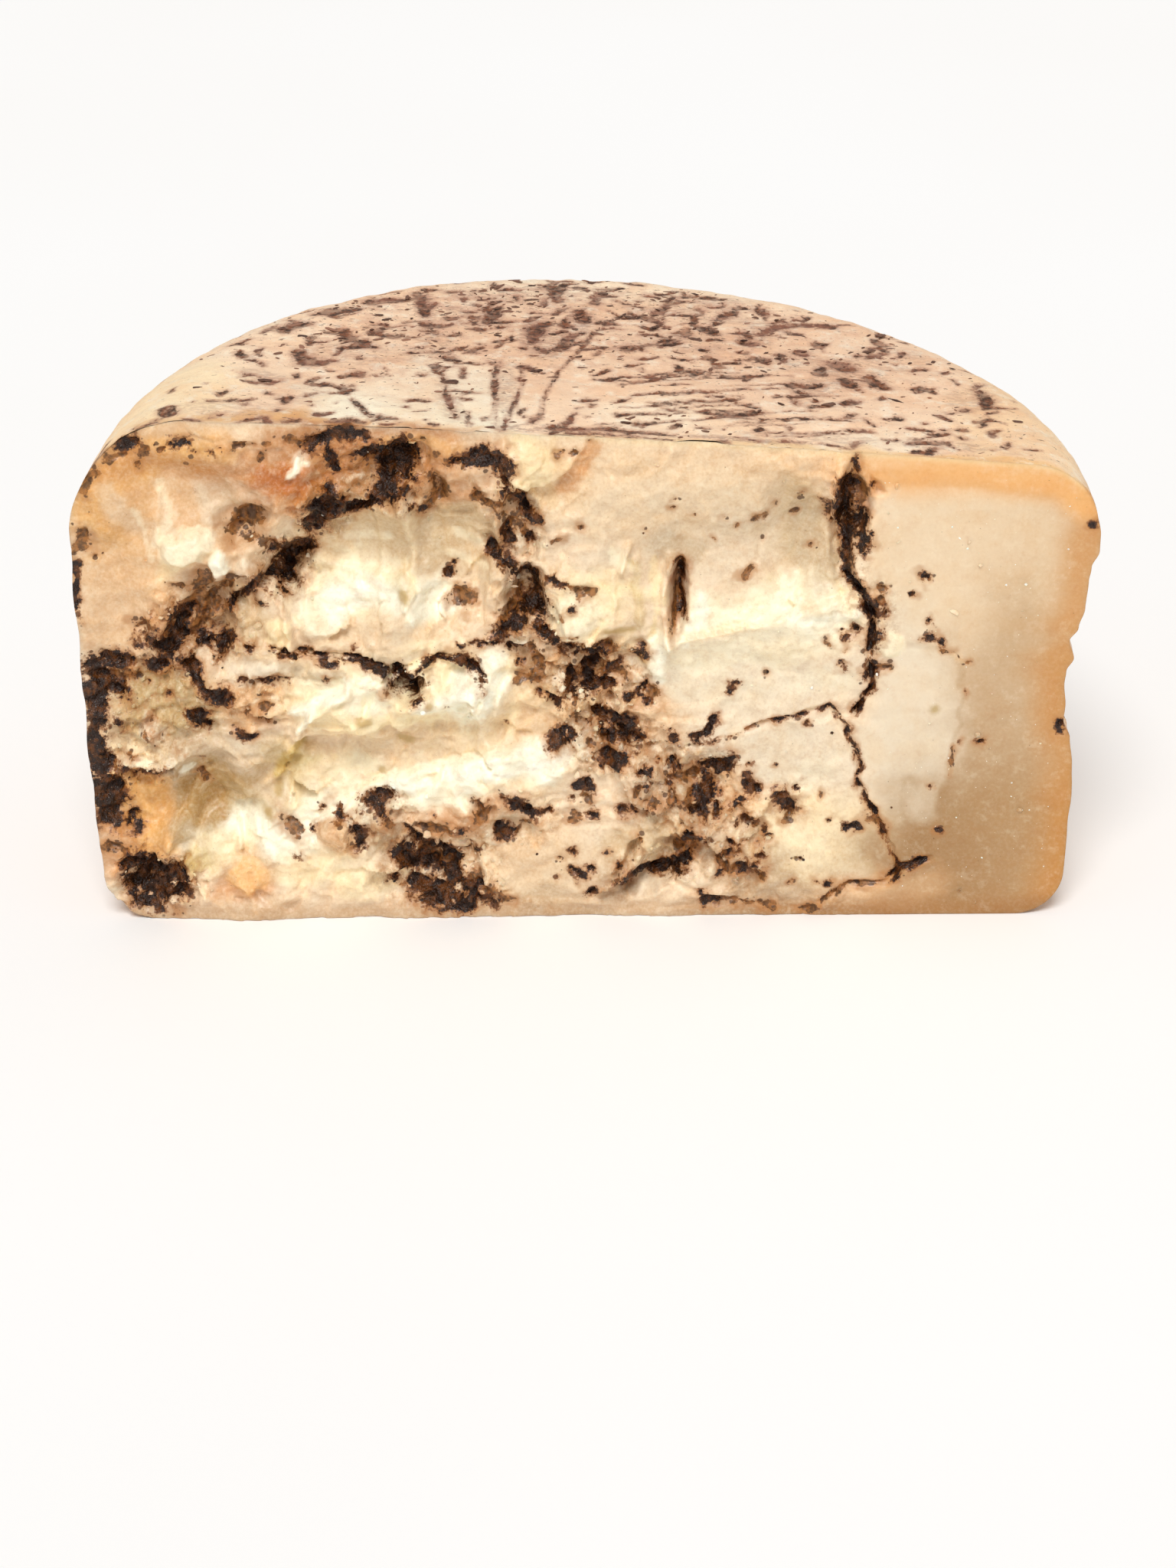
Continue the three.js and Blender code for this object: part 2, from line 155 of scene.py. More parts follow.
# Chunks with steep sides: x, z, half width, half height, turn, height, tone
CHUNKS = [
    (-100.5, 108, 7.6, 4.8, 14, 3.2, "cream"), (-92.6, 102.4, 2.6, 4.8, 4, 2.6, "milk"), (-71, 129.6, 1.5, 3.6, -28, 1.8, "milk"),
    (-86, 101.4, 2.6, 3, 0, 1.4, "bone"), (-112.5, 55.5, 3.6, 3.8, 30, 1.8, "bone"), (-83, 73.6, 6.5, 2.6, 6, 1.6, "bone"),
    (-118, 47, 6, 2, 4, 1.6, "cream"), (-108.5, 46.4, 2, 1.2, 30, 1.2, "milk"), (-105, 42.4, 2.4, 1, 10, 1, "milk"),
    (-67, 25.5, 5.2, 5.4, 0, 2.2, "peach"), (-91, 12.5, 5.5, 5, 0, 2.2, "apricot"), (-2, 88, 6, 7.5, 10, 1.6, "cream"),
    (2, 70.6, 3, 2, 0, 1.2, "grey"), (-6.4, 68, 3, 2.8, 0, 1.6, "bone"), (-1.6, 64.6, 2.2, 1.8, 0, 1.4, "cream"),
    (-7.8, 73.6, 2, 2.2, 0, 1.2, "peach"), (12.4, 68.6, 3, 1.8, 0, 1, "bone"), (-16.4, 80.6, 3.4, 1.5, 22, 1.4, "bone"),
    (-13, 128.4, 5.6, 7.4, 12, 1.4, "butter"), (-24, 24, 4.5, 3.6, 0, 1.3, "bone"), (77, 79, 4.5, 4, 0, 0.9, "cream"),
    (-78.6, 82.4, 3, 5, -10, 1.2, "butter"), (24.4, 49, 2.4, 2, 0, 1, "bone"), (-15.6, 107, 2.4, 3, 20, 1, "bone"),
]

# ------------------------------------------------------------------ dark veins, x z radius in mm
BLACK = [
    [(-114.5, 136, 1.5), (-111.5, 136.4, 1.5)], [(-102, 135.2, 1.6), (-99, 136, 1.5)],
    [(-92.3, 134, 0.7)], [(-128.6, 103, 0.8), (-129, 96, 0.5), (-129.4, 88, 0.5)],
    [(-67, 135, 1.6), (-62, 137, 2), (-58, 138.5, 2), (-54, 138, 1.6)],
    [(-63, 133, 0.9), (-62, 129, 0.9), (-60.5, 127, 0.6)],
    [(-56, 131.5, 1.2), (-50, 132, 3.3), (-46, 129, 4.4), (-47, 124, 3.2), (-49.5, 121, 1.3)],
    [(-46, 134, 1.8), (-44, 136, 1.5)], [(-50.5, 122, 1.2), (-54, 117.8, 1.1)],
    [(-63, 121.5, 2), (-62.5, 118, 3), (-66, 115, 3.5), (-68, 111, 2.4)],
    [(-60, 114.5, 0.7), (-54, 117.5, 1), (-50, 119.8, 0.8), (-46, 122.5, 1)],
    [(-78, 105, 2.3), (-75, 102.5, 3.4), (-71.5, 103, 2.4)],
    [(-77, 99, 2.8), (-76.5, 95, 2.3), (-74.5, 93.5, 1)], [(-84, 97, 1), (-79, 97.5, 2)],
    [(-84, 97, 0.9), (-88, 93, 1), (-90, 90, 0.8)], [(-102.6, 88.4, 1.8), (-105, 84, 2.4)],
    [(-112, 82, 2.8), (-108, 79.4, 3.4), (-104, 82, 2)], [(-99, 80.4, 1.5), (-94, 79.4, 2), (-91, 82, 1.4)],
    [(-104, 76.4, 1.6), (-101, 74, 1.2), (-99.4, 70, 0.9)], [(-94.2, 77, 1.3)], [(-87, 79.4, 0.9)],
    [(-82.3, 91.3, 0.9)], [(-123, 76, 2.2), (-122, 74, 1.8)], [(-112, 74.6, 1.7), (-108.5, 75, 1.1)],
    [(-127.5, 74, 3.2), (-126, 68, 4.4), (-127.5, 62, 2.8), (-127.6, 55, 2.5), (-127.4, 48, 2.8),
     (-126.8, 42, 3.4), (-126, 36, 3.8), (-126, 31, 3)],
    [(-121, 75, 2.4)], [(-121.4, 67, 2.4)], [(-121.4, 59, 1.8)],
    [(-123, 43.6, 1), (-118, 43.4, 1), (-113.5, 44.2, 1), (-110.8, 45.2, 1)],
    [(-121, 29.6, 1.3), (-119.6, 26.6, 1.1)],
    [(-122, 17.2, 2), (-118, 14.4, 4.2), (-113, 13.2, 4), (-108.4, 12.8, 2.2)],
    [(-121.4, 10, 2.6), (-115, 8, 4), (-108.6, 9, 2)], [(-118.6, 5, 2.2), (-116, 3, 1.8)],
    [(-98.5, 67, 1.3), (-96, 66.6, 2.2), (-92.4, 66, 2), (-94.4, 64.2, 1.3)],
    [(-102, 73, 0.5), (-100, 70, 0.6), (-98, 68, 0.6)],
    [(-102.4, 61, 1.6), (-100, 59, 1.8), (-98.6, 57, 1.2)], [(-91, 56.5, 0.5), (-89.4, 54.2, 1.4), (-87, 54.6, 0.6)],
    [(-80, 79, 0.4), (-73, 77.6, 0.5), (-69, 77.4, 0.4), (-63, 75.7, 0.6), (-58, 76, 0.6),
     (-54, 74.8, 0.7), (-50, 73.4, 0.9)],
    [(-49, 72.4, 1.6), (-46, 70.4, 3), (-44.6, 68, 1.9)], [(-48, 74, 0.8), (-44, 73.6, 0.8), (-42, 75, 0.6)],
    [(-41, 76.2, 0.6), (-37, 77, 0.8), (-31, 76.2, 0.8), (-28, 73.2, 1.1), (-26.5, 71.4, 1.1)],
    [(-32, 80, 0.3), (-23, 79.8, 0.5)], [(-22.6, 81.2, 1.5), (-20.6, 82, 1)], [(-19.6, 78.6, 0.9), (-16.6, 77.8, 0.8)],
    [(-90, 70.6, 0.3), (-84, 71, 0.4), (-80, 70, 0.5), (-76.4, 70.4, 0.7)],
    [(-66.5, 71.2, 0.6)], [(-59, 78, 0.5)],
    [(-41, 116, 0.8)], [(-43, 117, 0.5)],
    [(-32, 129.6, 0.9), (-28, 130.4, 1.6), (-24, 131.2, 2.2), (-20, 130.8, 2.4), (-20.4, 127.6, 1.6)],
    [(-19.6, 126, 1.2), (-18, 122, 1.3), (-15.4, 118.6, 1.4), (-13.4, 115, 1.5), (-11.4, 114.4, 1)],
    [(-19.6, 110.4, 1.4), (-18, 108, 1.8)], [(-13.4, 107, 0.8), (-13, 110, 0.6)],
    [(-23, 105, 0.5), (-23, 103.6, 1), (-20.6, 102, 1.3), (-18.4, 100, 1.2)],
    [(-35, 96.4, 1)], [(-33.4, 98.8, 0.5)],
    [(-17.4, 97.4, 1), (-13.4, 96, 1.8), (-11.8, 92.4, 1.8), (-13.6, 88.6, 2.4), (-11, 86.4, 1.2)],
    [(-23, 82.4, 1.3), (-20.4, 84, 1), (-17, 86.2, 1.2)], [(-12, 84.4, 0.8), (-9.6, 81.6, 1), (-7.4, 79.4, 1)],
    [(-8, 98, 0.6), (-4, 96.4, 0.8)], [(-2.5, 90.5, 0.5)],
    [(23, 102.6, 0.5), (24.4, 101, 0.8)], [(24.4, 99.4, 0.7), (24.9, 95, 0.7), (25.1, 90, 0.6), (24.4, 87, 0.6)],
    [(-5.6, 77, 1.3), (-3, 76.6, 1.3), (0, 77, 2), (3, 77, 1.9)], [(2, 74, 1.3), (0, 72, 1.4)],
    [(7.4, 72.4, 1.1), (9, 73, 0.8)], [(13.6, 76.4, 1.2)],
    [(-12, 66.4, 0.8), (-9, 64, 0.9), (-7.4, 62, 1.3)],
    [(-4.4, 69.4, 1.2), (-4.4, 68, 1.6), (-3.4, 65, 1.4)], [(0, 69, 1.4), (1, 66.6, 1.6), (4, 67.6, 1.5), (6.6, 67.6, 0.7)],
    [(11, 64, 0.7), (13.6, 65, 0.8), (15.6, 67, 0.7)], [(16.4, 62.6, 0.9)],
    [(3.4, 54.4, 0.7), (6.6, 52.2, 1)], [(1.4, 58.6, 0.9), (5, 58.2, 1.5), (8.4, 57, 2.2), (9.6, 54, 2.4), (12.6, 51, 2)],
    [(-8.6, 51.4, 1.4), (-6.4, 53.4, 1.4), (-3.6, 53.6, 1.1), (-5, 51.6, 1.4)],
    [(4.4, 48.4, 1), (6, 46.2, 2.3), (8, 46.6, 1.8)],
    [(14, 43.3, 0.8)], [(16.2, 43.5, 0.8)], [(18.5, 45.2, 0.4)], [(22.4, 52.4, 1)], [(21, 54.4, 0.5)],
    [(28, 52, 1), (31, 54, 0.9), (33, 58.4, 0.7)], [(36.6, 65.6, 0.7), (38.4, 67.6, 0.8)],
    [(31, 43, 1.8), (35, 44.4, 2.4), (37.4, 46.2, 1.7)], [(22, 44.4, 1.2), (23, 42.4, 0.7)],
    [(30, 40, 1.4), (30.4, 36.6, 2.3), (30, 33, 2.3), (27.2, 31.6, 1)], [(33.4, 33, 1.2), (32.8, 31.2, 0.9)],
    [(9, 32, 1)], [(12, 33, 0.9)], [(15.6, 31.4, 0.8)], [(21, 38.4, 1.3)], [(15, 39.4, 0.8)],
    [(-3, 39.6, 0.9), (-0.4, 39.4, 1.2), (0.4, 37.6, 1)], [(-4, 35.6, 0.7)], [(0.4, 30.4, 1.1), (1.6, 30.2, 0.8)],
    [(-22, 37.4, 0.8), (-19, 35.4, 1.3), (-17, 33.4, 1.1), (-14, 31.6, 1.4), (-10.4, 32, 0.9)],
    [(-28, 35, 1)], [(-33.4, 25.6, 1.4)], [(-40, 30.5, 0.4)], [(-24.6, 26.4, 0.5), (-23.4, 25, 1.2), (-21.4, 24.2, 1.4)],
    [(-57, 34.4, 2.2), (-54, 35.4, 2.3), (-55.4, 32.4, 1.9)], [(-61.4, 28, 1.4), (-60.2, 25, 1.7), (-60.4, 22.4, 1)],
    [(-69.8, 33, 0.5)], [(-72.7, 27, 0.5)], [(-65.5, 32.5, 1.2)],
    [(-48.4, 27.6, 0.8), (-46.4, 24.4, 1.3), (-44.4, 20.6, 2.6), (-40, 17.6, 2.2), (-35, 15.4, 1.2)],
    [(-49.4, 18.6, 2), (-48.6, 14.6, 2.2), (-44, 12.6, 2.8), (-39, 11, 2.4), (-34, 8.6, 2.2), (-29, 5.6, 1.8), (-25, 3.6, 1.2)],
    [(-47, 8, 1.6), (-42.6, 5.6, 1.8), (-38, 5.4, 2), (-33, 3, 1.6)], [(-29, 9.4, 0.8)], [(-36, 12.4, 1.2)], [(-52, 10.4, 1)],
    [(-31, 21, 0.4)], [(-29.5, 19, 0.6)], [(-8.2, 18.2, 0.6)], [(-4.3, 19.7, 0.8)],
    [(-5.4, 14.4, 0.9), (-3, 13.2, 1.2)], [(0.5, 15.8, 0.9)], [(4, 20, 0.7)], [(8, 15.3, 0.6)],
    [(-9, 12.5, 0.4)], [(0.4, 8.6, 1.3), (-0.6, 7.6, 0.8)],
    [(7, 10.4, 1.2), (11, 12.4, 1.6), (17, 13, 1.6), (22.4, 13.6, 1.7), (25, 16, 1.3)],
    [(24.4, 22.6, 1.2), (27, 24, 1.6), (31, 23.6, 1.4)],
    [(34, 12.4, 0.8)], [(41, 15.4, 1.6), (43.4, 15.6, 1.6)], [(31, 20, 0.8)], [(36.4, 20, 1.1)],
    [(44.4, 19, 1.1)], [(41, 29, 1.2), (42.4, 28.2, 0.8)], [(38.4, 28, 0.6)], [(45.4, 25, 0.6)], [(46.4, 24, 0.5)],
    [(39, 33, 0.9)], [(40, 35.5, 0.6)], [(41.4, 38.6, 0.9), (43.6, 37.6, 1.1)], [(41, 41.5, 0.7)], [(41.5, 44.6, 0.5)],
    [(28.4, 7, 0.9)], [(30, 5, 1.6), (33.4, 5, 1)], [(36.5, 22.5, 0.6)],
    [(68.6, 130, 0.4), (69, 127, 0.5)],
    [(66.4, 125, 1.6), (66.6, 121, 2.4), (65.6, 117, 2.4), (66, 113, 2.7), (67.4, 109, 1.7), (66.8, 105, 0.9)],
    [(70.4, 115, 0.8), (70, 111, 1), (71, 106.4, 1.3), (71.4, 104.6, 0.8)],
    [(66.6, 104, 1), (66.8, 101, 1.6), (67.2, 97.6, 1.6), (69.8, 94.8, 1.3), (72, 92, 1.2), (72.8, 88.4, 1.7)],
    [(76.2, 90, 0.6), (76.2, 88, 0.7)], [(69, 83.4, 0.9)], [(73.6, 84.4, 1), (73.8, 80, 1.2), (72.6, 77, 0.9)],
    [(72.6, 74.4, 0.4), (72.8, 71, 1.1), (72.8, 69.4, 1.2)], [(73.6, 68, 0.5), (73.4, 66, 0.8), (71.6, 63.2, 0.5), (69.2, 59.2, 0.5)],
    [(86.4, 97.6, 0.9)], [(83.6, 92.8, 0.6)], [(87.8, 84.8, 0.8)], [(86.2, 80.4, 0.6), (87.8, 80.6, 1.1), (89, 80.6, 0.7)],
    [(91, 79, 0.6)], [(55.4, 118.2, 0.6)], [(65.4, 83, 0.4)], [(66.5, 81.2, 0.5)], [(72.8, 123, 0.5)], [(72.8, 110, 0.4)],
    [(65.4, 74.2, 0.4), (65.6, 72.6, 0.8)],
    [(26, 50, 0.1), (33, 51.5, 0.15), (41, 54.5, 0.15)], [(48, 57, 0.1), (51, 58, 0.2), (57, 58.8, 0.2)], [(60, 59.8, 0.3), (61.6, 61, 0.3), (64, 60.2, 0.3), (65.4, 58.6, 0.2)],
    [(63.4, 58.4, 0.2), (65.4, 56.6, 0.3), (67, 54.6, 0.6), (67.4, 52.4, 0.4), (69, 49, 0.3), (70.2, 45, 0.4),
     (70.4, 43.4, 0.3), (69.6, 41, 0.2), (70.2, 38, 0.2), (72, 34.6, 0.5), (73.4, 32, 0.5), (74.2, 30, 0.6)],
    [(76.4, 25.4, 0.6), (77, 22.6, 0.4), (79, 19, 0.2), (80, 16.4, 0.3), (80.4, 14.6, 0.3)],
    [(81, 14.4, 0.8), (84, 15, 0.6), (87, 16.6, 0.7)], [(81, 14, 0.8), (79.4, 11.6, 0.7)],
    [(57, 57, 0.4)], [(66.4, 25.6, 0.9), (69.4, 26.6, 0.7)], [(62, 27.7, 0.7)],
    [(52.8, 17.8, 0.5), (54.4, 17, 0.5)], [(62, 10.6, 0.7)], [(52.5, 11.3, 0.4)], [(59.5, 10.9, 0.3)],
    [(48.6, 35, 1), (50.4, 34.8, 1.6), (51.2, 32.6, 1.8), (52.4, 31, 1.2)], [(53.8, 37, 0.9)],
    [(48.7, 44, 0.4)], [(101.2, 51, 0.6)], [(96.4, 51.4, 0.4)], [(97, 65.6, 0.4)], [(88.4, 38, 0.7)], [(91.4, 25.1, 0.4)],
    [(122.2, 55.6, 0.9), (121.8, 54.4, 0.8)], [(128.7, 111.4, 0.6)], [(-15.5, 74, 0.5)], [(-17.6, 74.2, 0.5)],
    [(-21.3, 56.6, 0.4)], [(-36, 63.5, 0.3)], [(-113, 69, 0.3)], [(-107.8, 66.2, 0.4)], [(-77, 18.8, 0.9)],
]
BROWN = [
    [(-118, 131.5, 1), (-114, 133, 0.8)], [(-105, 134.6, 0.8), (-101, 135, 0.7)], [(-90, 135, 0.9)], [(-86, 135.6, 0.7), (-82, 136, 0.6)],
    [(-78, 136.4, 0.9)], [(-73, 136, 1), (-69, 135, 0.8)], [(-98.6, 130, 0.6)], [(-111, 129.6, 0.5)], [(-80, 131.6, 0.6)],
    [(-109, 133.5, 1.3)], [(-96.5, 133.5, 0.9)], [(-125, 124.5, 1.3), (-122, 128, 1.3)],
    [(-128, 108, 1.6), (-126.5, 112.4, 1.5)], [(-124.3, 105.2, 0.8)], [(-124.3, 117.5, 0.5)], [(-127, 115, 0.5)],
    [(-88, 111.6, 2.3), (-84.4, 114, 3), (-82.4, 117, 1.4)], [(-84, 109.4, 1.6)], [(-81, 108, 1.3)],
    [(-96, 98.6, 1.6), (-98, 94, 2), (-101, 90, 2.2), (-104, 86.4, 2), (-107, 83, 1.6)],
    [(-90, 97.4, 0.9), (-94, 93, 1.2), (-96, 89, 1.9), (-98.6, 85.4, 2), (-100.6, 82, 1.4)],
    [(-114.6, 84.4, 1.5), (-111.6, 85.6, 1.2)], [(-106, 96, 0.7), (-102.4, 96.4, 0.9)], [(-86, 99, 1), (-90, 98.6, 0.8)],
    [(-119, 49, 0.7)], [(-127, 22.4, 1.2), (-122.4, 20.4, 1.3)], [(-101.4, 41, 1), (-100.6, 38.6, 0.9)],
    [(-102.4, 46, 0.5), (-101.2, 45.2, 0.7)], [(-114.4, 57, 0.4), (-113.4, 54, 0.4), (-111.6, 52, 0.5)],
    [(-122, 71, 2), (-117, 71, 1.6)], [(-125.6, 45, 2), (-123, 37, 1.6)],
    [(-85.6, 69, 0.6)], [(-83.4, 67.2, 0.7)], [(-83.2, 63, 0.9)], [(-84.6, 60, 0.6)], [(-82, 59.3, 0.8)], [(-87.4, 62, 0.5)],
    [(-58, 35.6, 1.8)], [(-65.6, 32.6, 1.9)], [(-79, 28, 1.2), (-76, 26, 1.2)], [(-53, 29, 0.8), (-51, 27, 0.7)],
    [(-39, 135.4, 1.3)], [(-41.4, 135, 0.8)], [(-36, 132, 0.6)], [(-33, 129.8, 0.8)],
    [(-37.4, 126, 0.8), (-35, 123.4, 1.2), (-35.8, 119.6, 1), (-39, 117, 1.1)],
    [(-1.4, 132.2, 0.8)], [(-5.6, 132.4, 0.5), (-4, 132.8, 0.4)], [(2.4, 135.6, 0.5)],
    [(-27, 120.4, 0.8), (-24, 118.6, 1.2), (-21, 119, 1.2), (-17, 119, 1.2)], [(-22, 117, 0.7), (-20, 114, 0.7)],
    [(-15, 116, 1), (-18, 112.6, 1.2), (-20, 110.4, 1.2)], [(-16.4, 112, 1.6), (-14.4, 110, 1.2)],
    [(-8, 108.4, 0.8), (-6, 109, 0.6)], [(-33.4, 91, 1.5), (-31, 90.4, 1.5)], [(-28.4, 90.4, 0.6)], [(-31.4, 88.4, 0.7)],
    [(-19, 88.4, 1.7), (-16, 89.4, 1.4)], [(-21.4, 84, 1), (-16, 92, 0.9)], [(-4, 96.4, 0.7), (-1.2, 94, 1), (2, 94.8, 0.8)],
    [(-2.4, 94.6, 0.5), (-0.8, 92.4, 0.5)], [(-5.5, 87.5, 0.4)], [(-4, 82.5, 0.6), (-2, 82.5, 0.5)], [(0, 113, 0.6)],
    [(15.5, 110.4, 0.3)], [(23.8, 119.6, 0.4)], [(23.2, 117, 0.3)], [(43.6, 113.2, 0.8), (46.4, 112, 0.6)], [(39, 110.6, 0.5)],
    [(36.6, 113.8, 0.4)], [(49, 116, 0.4)], [(52, 112.6, 0.4), (54.4, 113.6, 0.3)], [(33, 107, 0.3)], [(28, 114.6, 0.3)], [(45.6, 106, 0.3)], [(42.6, 99, 0.5), (40.6, 97.2, 0.7)], [(23.8, 94, 0.6), (23.2, 89, 0.8), (22, 84, 0.8)],
    [(-14, 78, 1.1), (-12, 74, 2.2), (-12.4, 70, 1.3)], [(-17, 69.4, 1), (-14, 70, 1)],
    [(6, 64, 0.7)], [(17, 65.6, 1.3), (17, 63, 1)], [(5, 70.6, 1.2), (10, 70, 0.8)], [(4, 79, 1.2), (8, 77.4, 1)],
    [(-3, 58.5, 1)], [(-2, 57, 0.8)], [(3, 54, 1.2), (5, 52.6, 1)], [(0, 52.4, 0.7), (1, 51, 0.6)], [(12, 56, 1)],
    [(21, 40, 1.3), (24, 40.4, 1), (27, 41, 1.2)], [(21, 37, 1), (22, 34, 1)], [(27, 36, 1.6), (26, 33, 1.2)],
    [(12.4, 37.6, 0.7), (13.6, 39, 0.8)], [(37.4, 32.4, 0.6)], [(17, 34, 0.8)], [(13, 24, 0.8), (13, 22.6, 0.9)],
    [(-2, 36, 1), (-0.4, 34.4, 0.8)], [(-3.6, 30.6, 0.8), (-1.6, 29.4, 0.6)], [(-3.4, 28, 0.9), (-5, 28, 0.5)],
    [(-30, 35.4, 0.7), (-28, 33.4, 1), (-25.4, 34, 1), (-28.4, 31.4, 1)], [(-46, 28, 0.8), (-42, 28, 1.2), (-38, 27, 1.6)],
    [(-20, 24, 0.6), (-18, 27, 0.6), (-16.4, 28.4, 0.7)], [(-45, 16, 4.2), (-38, 12, 3.6)], [(-31, 11, 1.8), (-26, 7.6, 1.6), (-23, 5, 1.2)],
    [(24, 19, 1.6), (27, 22.4, 1.8)], [(34, 16, 0.7), (36.6, 13.4, 0.9), (40, 14.4, 1)], [(34.6, 18, 0.9), (38.6, 19, 0.8)],
    [(43, 27.4, 0.9)], [(44.8, 12.4, 0.6)], [(34, 5, 0.9), (40, 4.4, 0.6), (43, 3.6, 0.5)],
    [(69, 124, 1), (70.6, 121.4, 1.3), (70.2, 118, 1)], [(74.4, 95.4, 1), (76.6, 94.6, 0.9)], [(75.2, 92, 1.1)],
    [(73, 71.2, 1), (75.6, 72, 0.7), (78, 72.3, 0.5)], [(87, 97, 0.8)], [(61.8, 79, 0.6)], [(66.4, 77.5, 0.6)],
    [(74.4, 28.4, 1), (75.6, 27, 0.7)], [(70.4, 9.4, 0.4), (66, 8.6, 0.5), (64, 6.6, 0.7), (60.6, 4.8, 0.5)],
    [(78, 9.6, 0.4), (74, 9.4, 0.4), (70, 9.2, 0.4)], [(52, 29, 1.2)], [(55.4, 30.4, 0.8)], [(60.6, 35, 0.6)],
    [(46.8, 70.4, 0.5)], [(95, 50, 0.3), (94, 46, 0.3), (93.6, 42, 0.3)], [(98, 73.6, 0.3), (95, 76, 0.3), (91, 77.2, 0.3)],
    [(41, 54.6, 0.4), (44.4, 55.6, 0.3), (48, 57, 0.4)], [(57.6, 103.8, 0.6)], [(56, 1.8, 0.9), (58.6, 2.4, 0.6)],
    [(48, 3, 0.8), (44, 4, 0.8)],
]
# Olive marks: painted shadow in the small pits and beside the torn edges, olive smears in the paste elsewhere.
OLIVE = [
    [(-80.4, 44, 1.1), (-77, 45.6, 0.9), (-75.4, 46.4, 0.5)], [(-81.4, 38, 0.8), (-81.6, 36, 0.6)], [(-75.4, 38.8, 0.4)],
    [(-58.6, 60.4, 0.5), (-56.4, 59.4, 0.7)], [(-49, 52, 0.6), (-46.6, 51, 0.8)], [(-40, 64.4, 0.7)],
    [(5.4, 83.4, 0.7), (8.4, 83, 0.5), (12, 83.2, 0.4)], [(-45.8, 93.4, 0.9)],
    [(89.4, 60.2, 0.9)], [(-84.6, 30, 0.8)], [(-106, 17, 1.6)], [(-54, 42, 0.6)], [(14.5, 74, 0.9)],
]

# ------------------------------------------------------------------ tones of the paste, with painted light and shade
TONE = {
    "cream": "#fbeecd", "milk": "#fdfbe6", "snow": "#fcfdf3", "butter": "#f9e5b8", "sand": "#e5c9a3", "bone": "#e8d7bc",
    "peach": "#e0b484", "apricot": "#f0bb7a", "amber": "#c5803b", "rust": "#a5602a", "flame": "#b5611a", "tan": "#a57f52", "hay": "#b48e54",
    "khaki": "#b3935a", "ochre": "#e3ad66", "olive": "#d4b88e", "moss": "#c9ad5e", "grey": "#c5ae8e", "earth": "#96693c", "umber": "#6d4827",
}
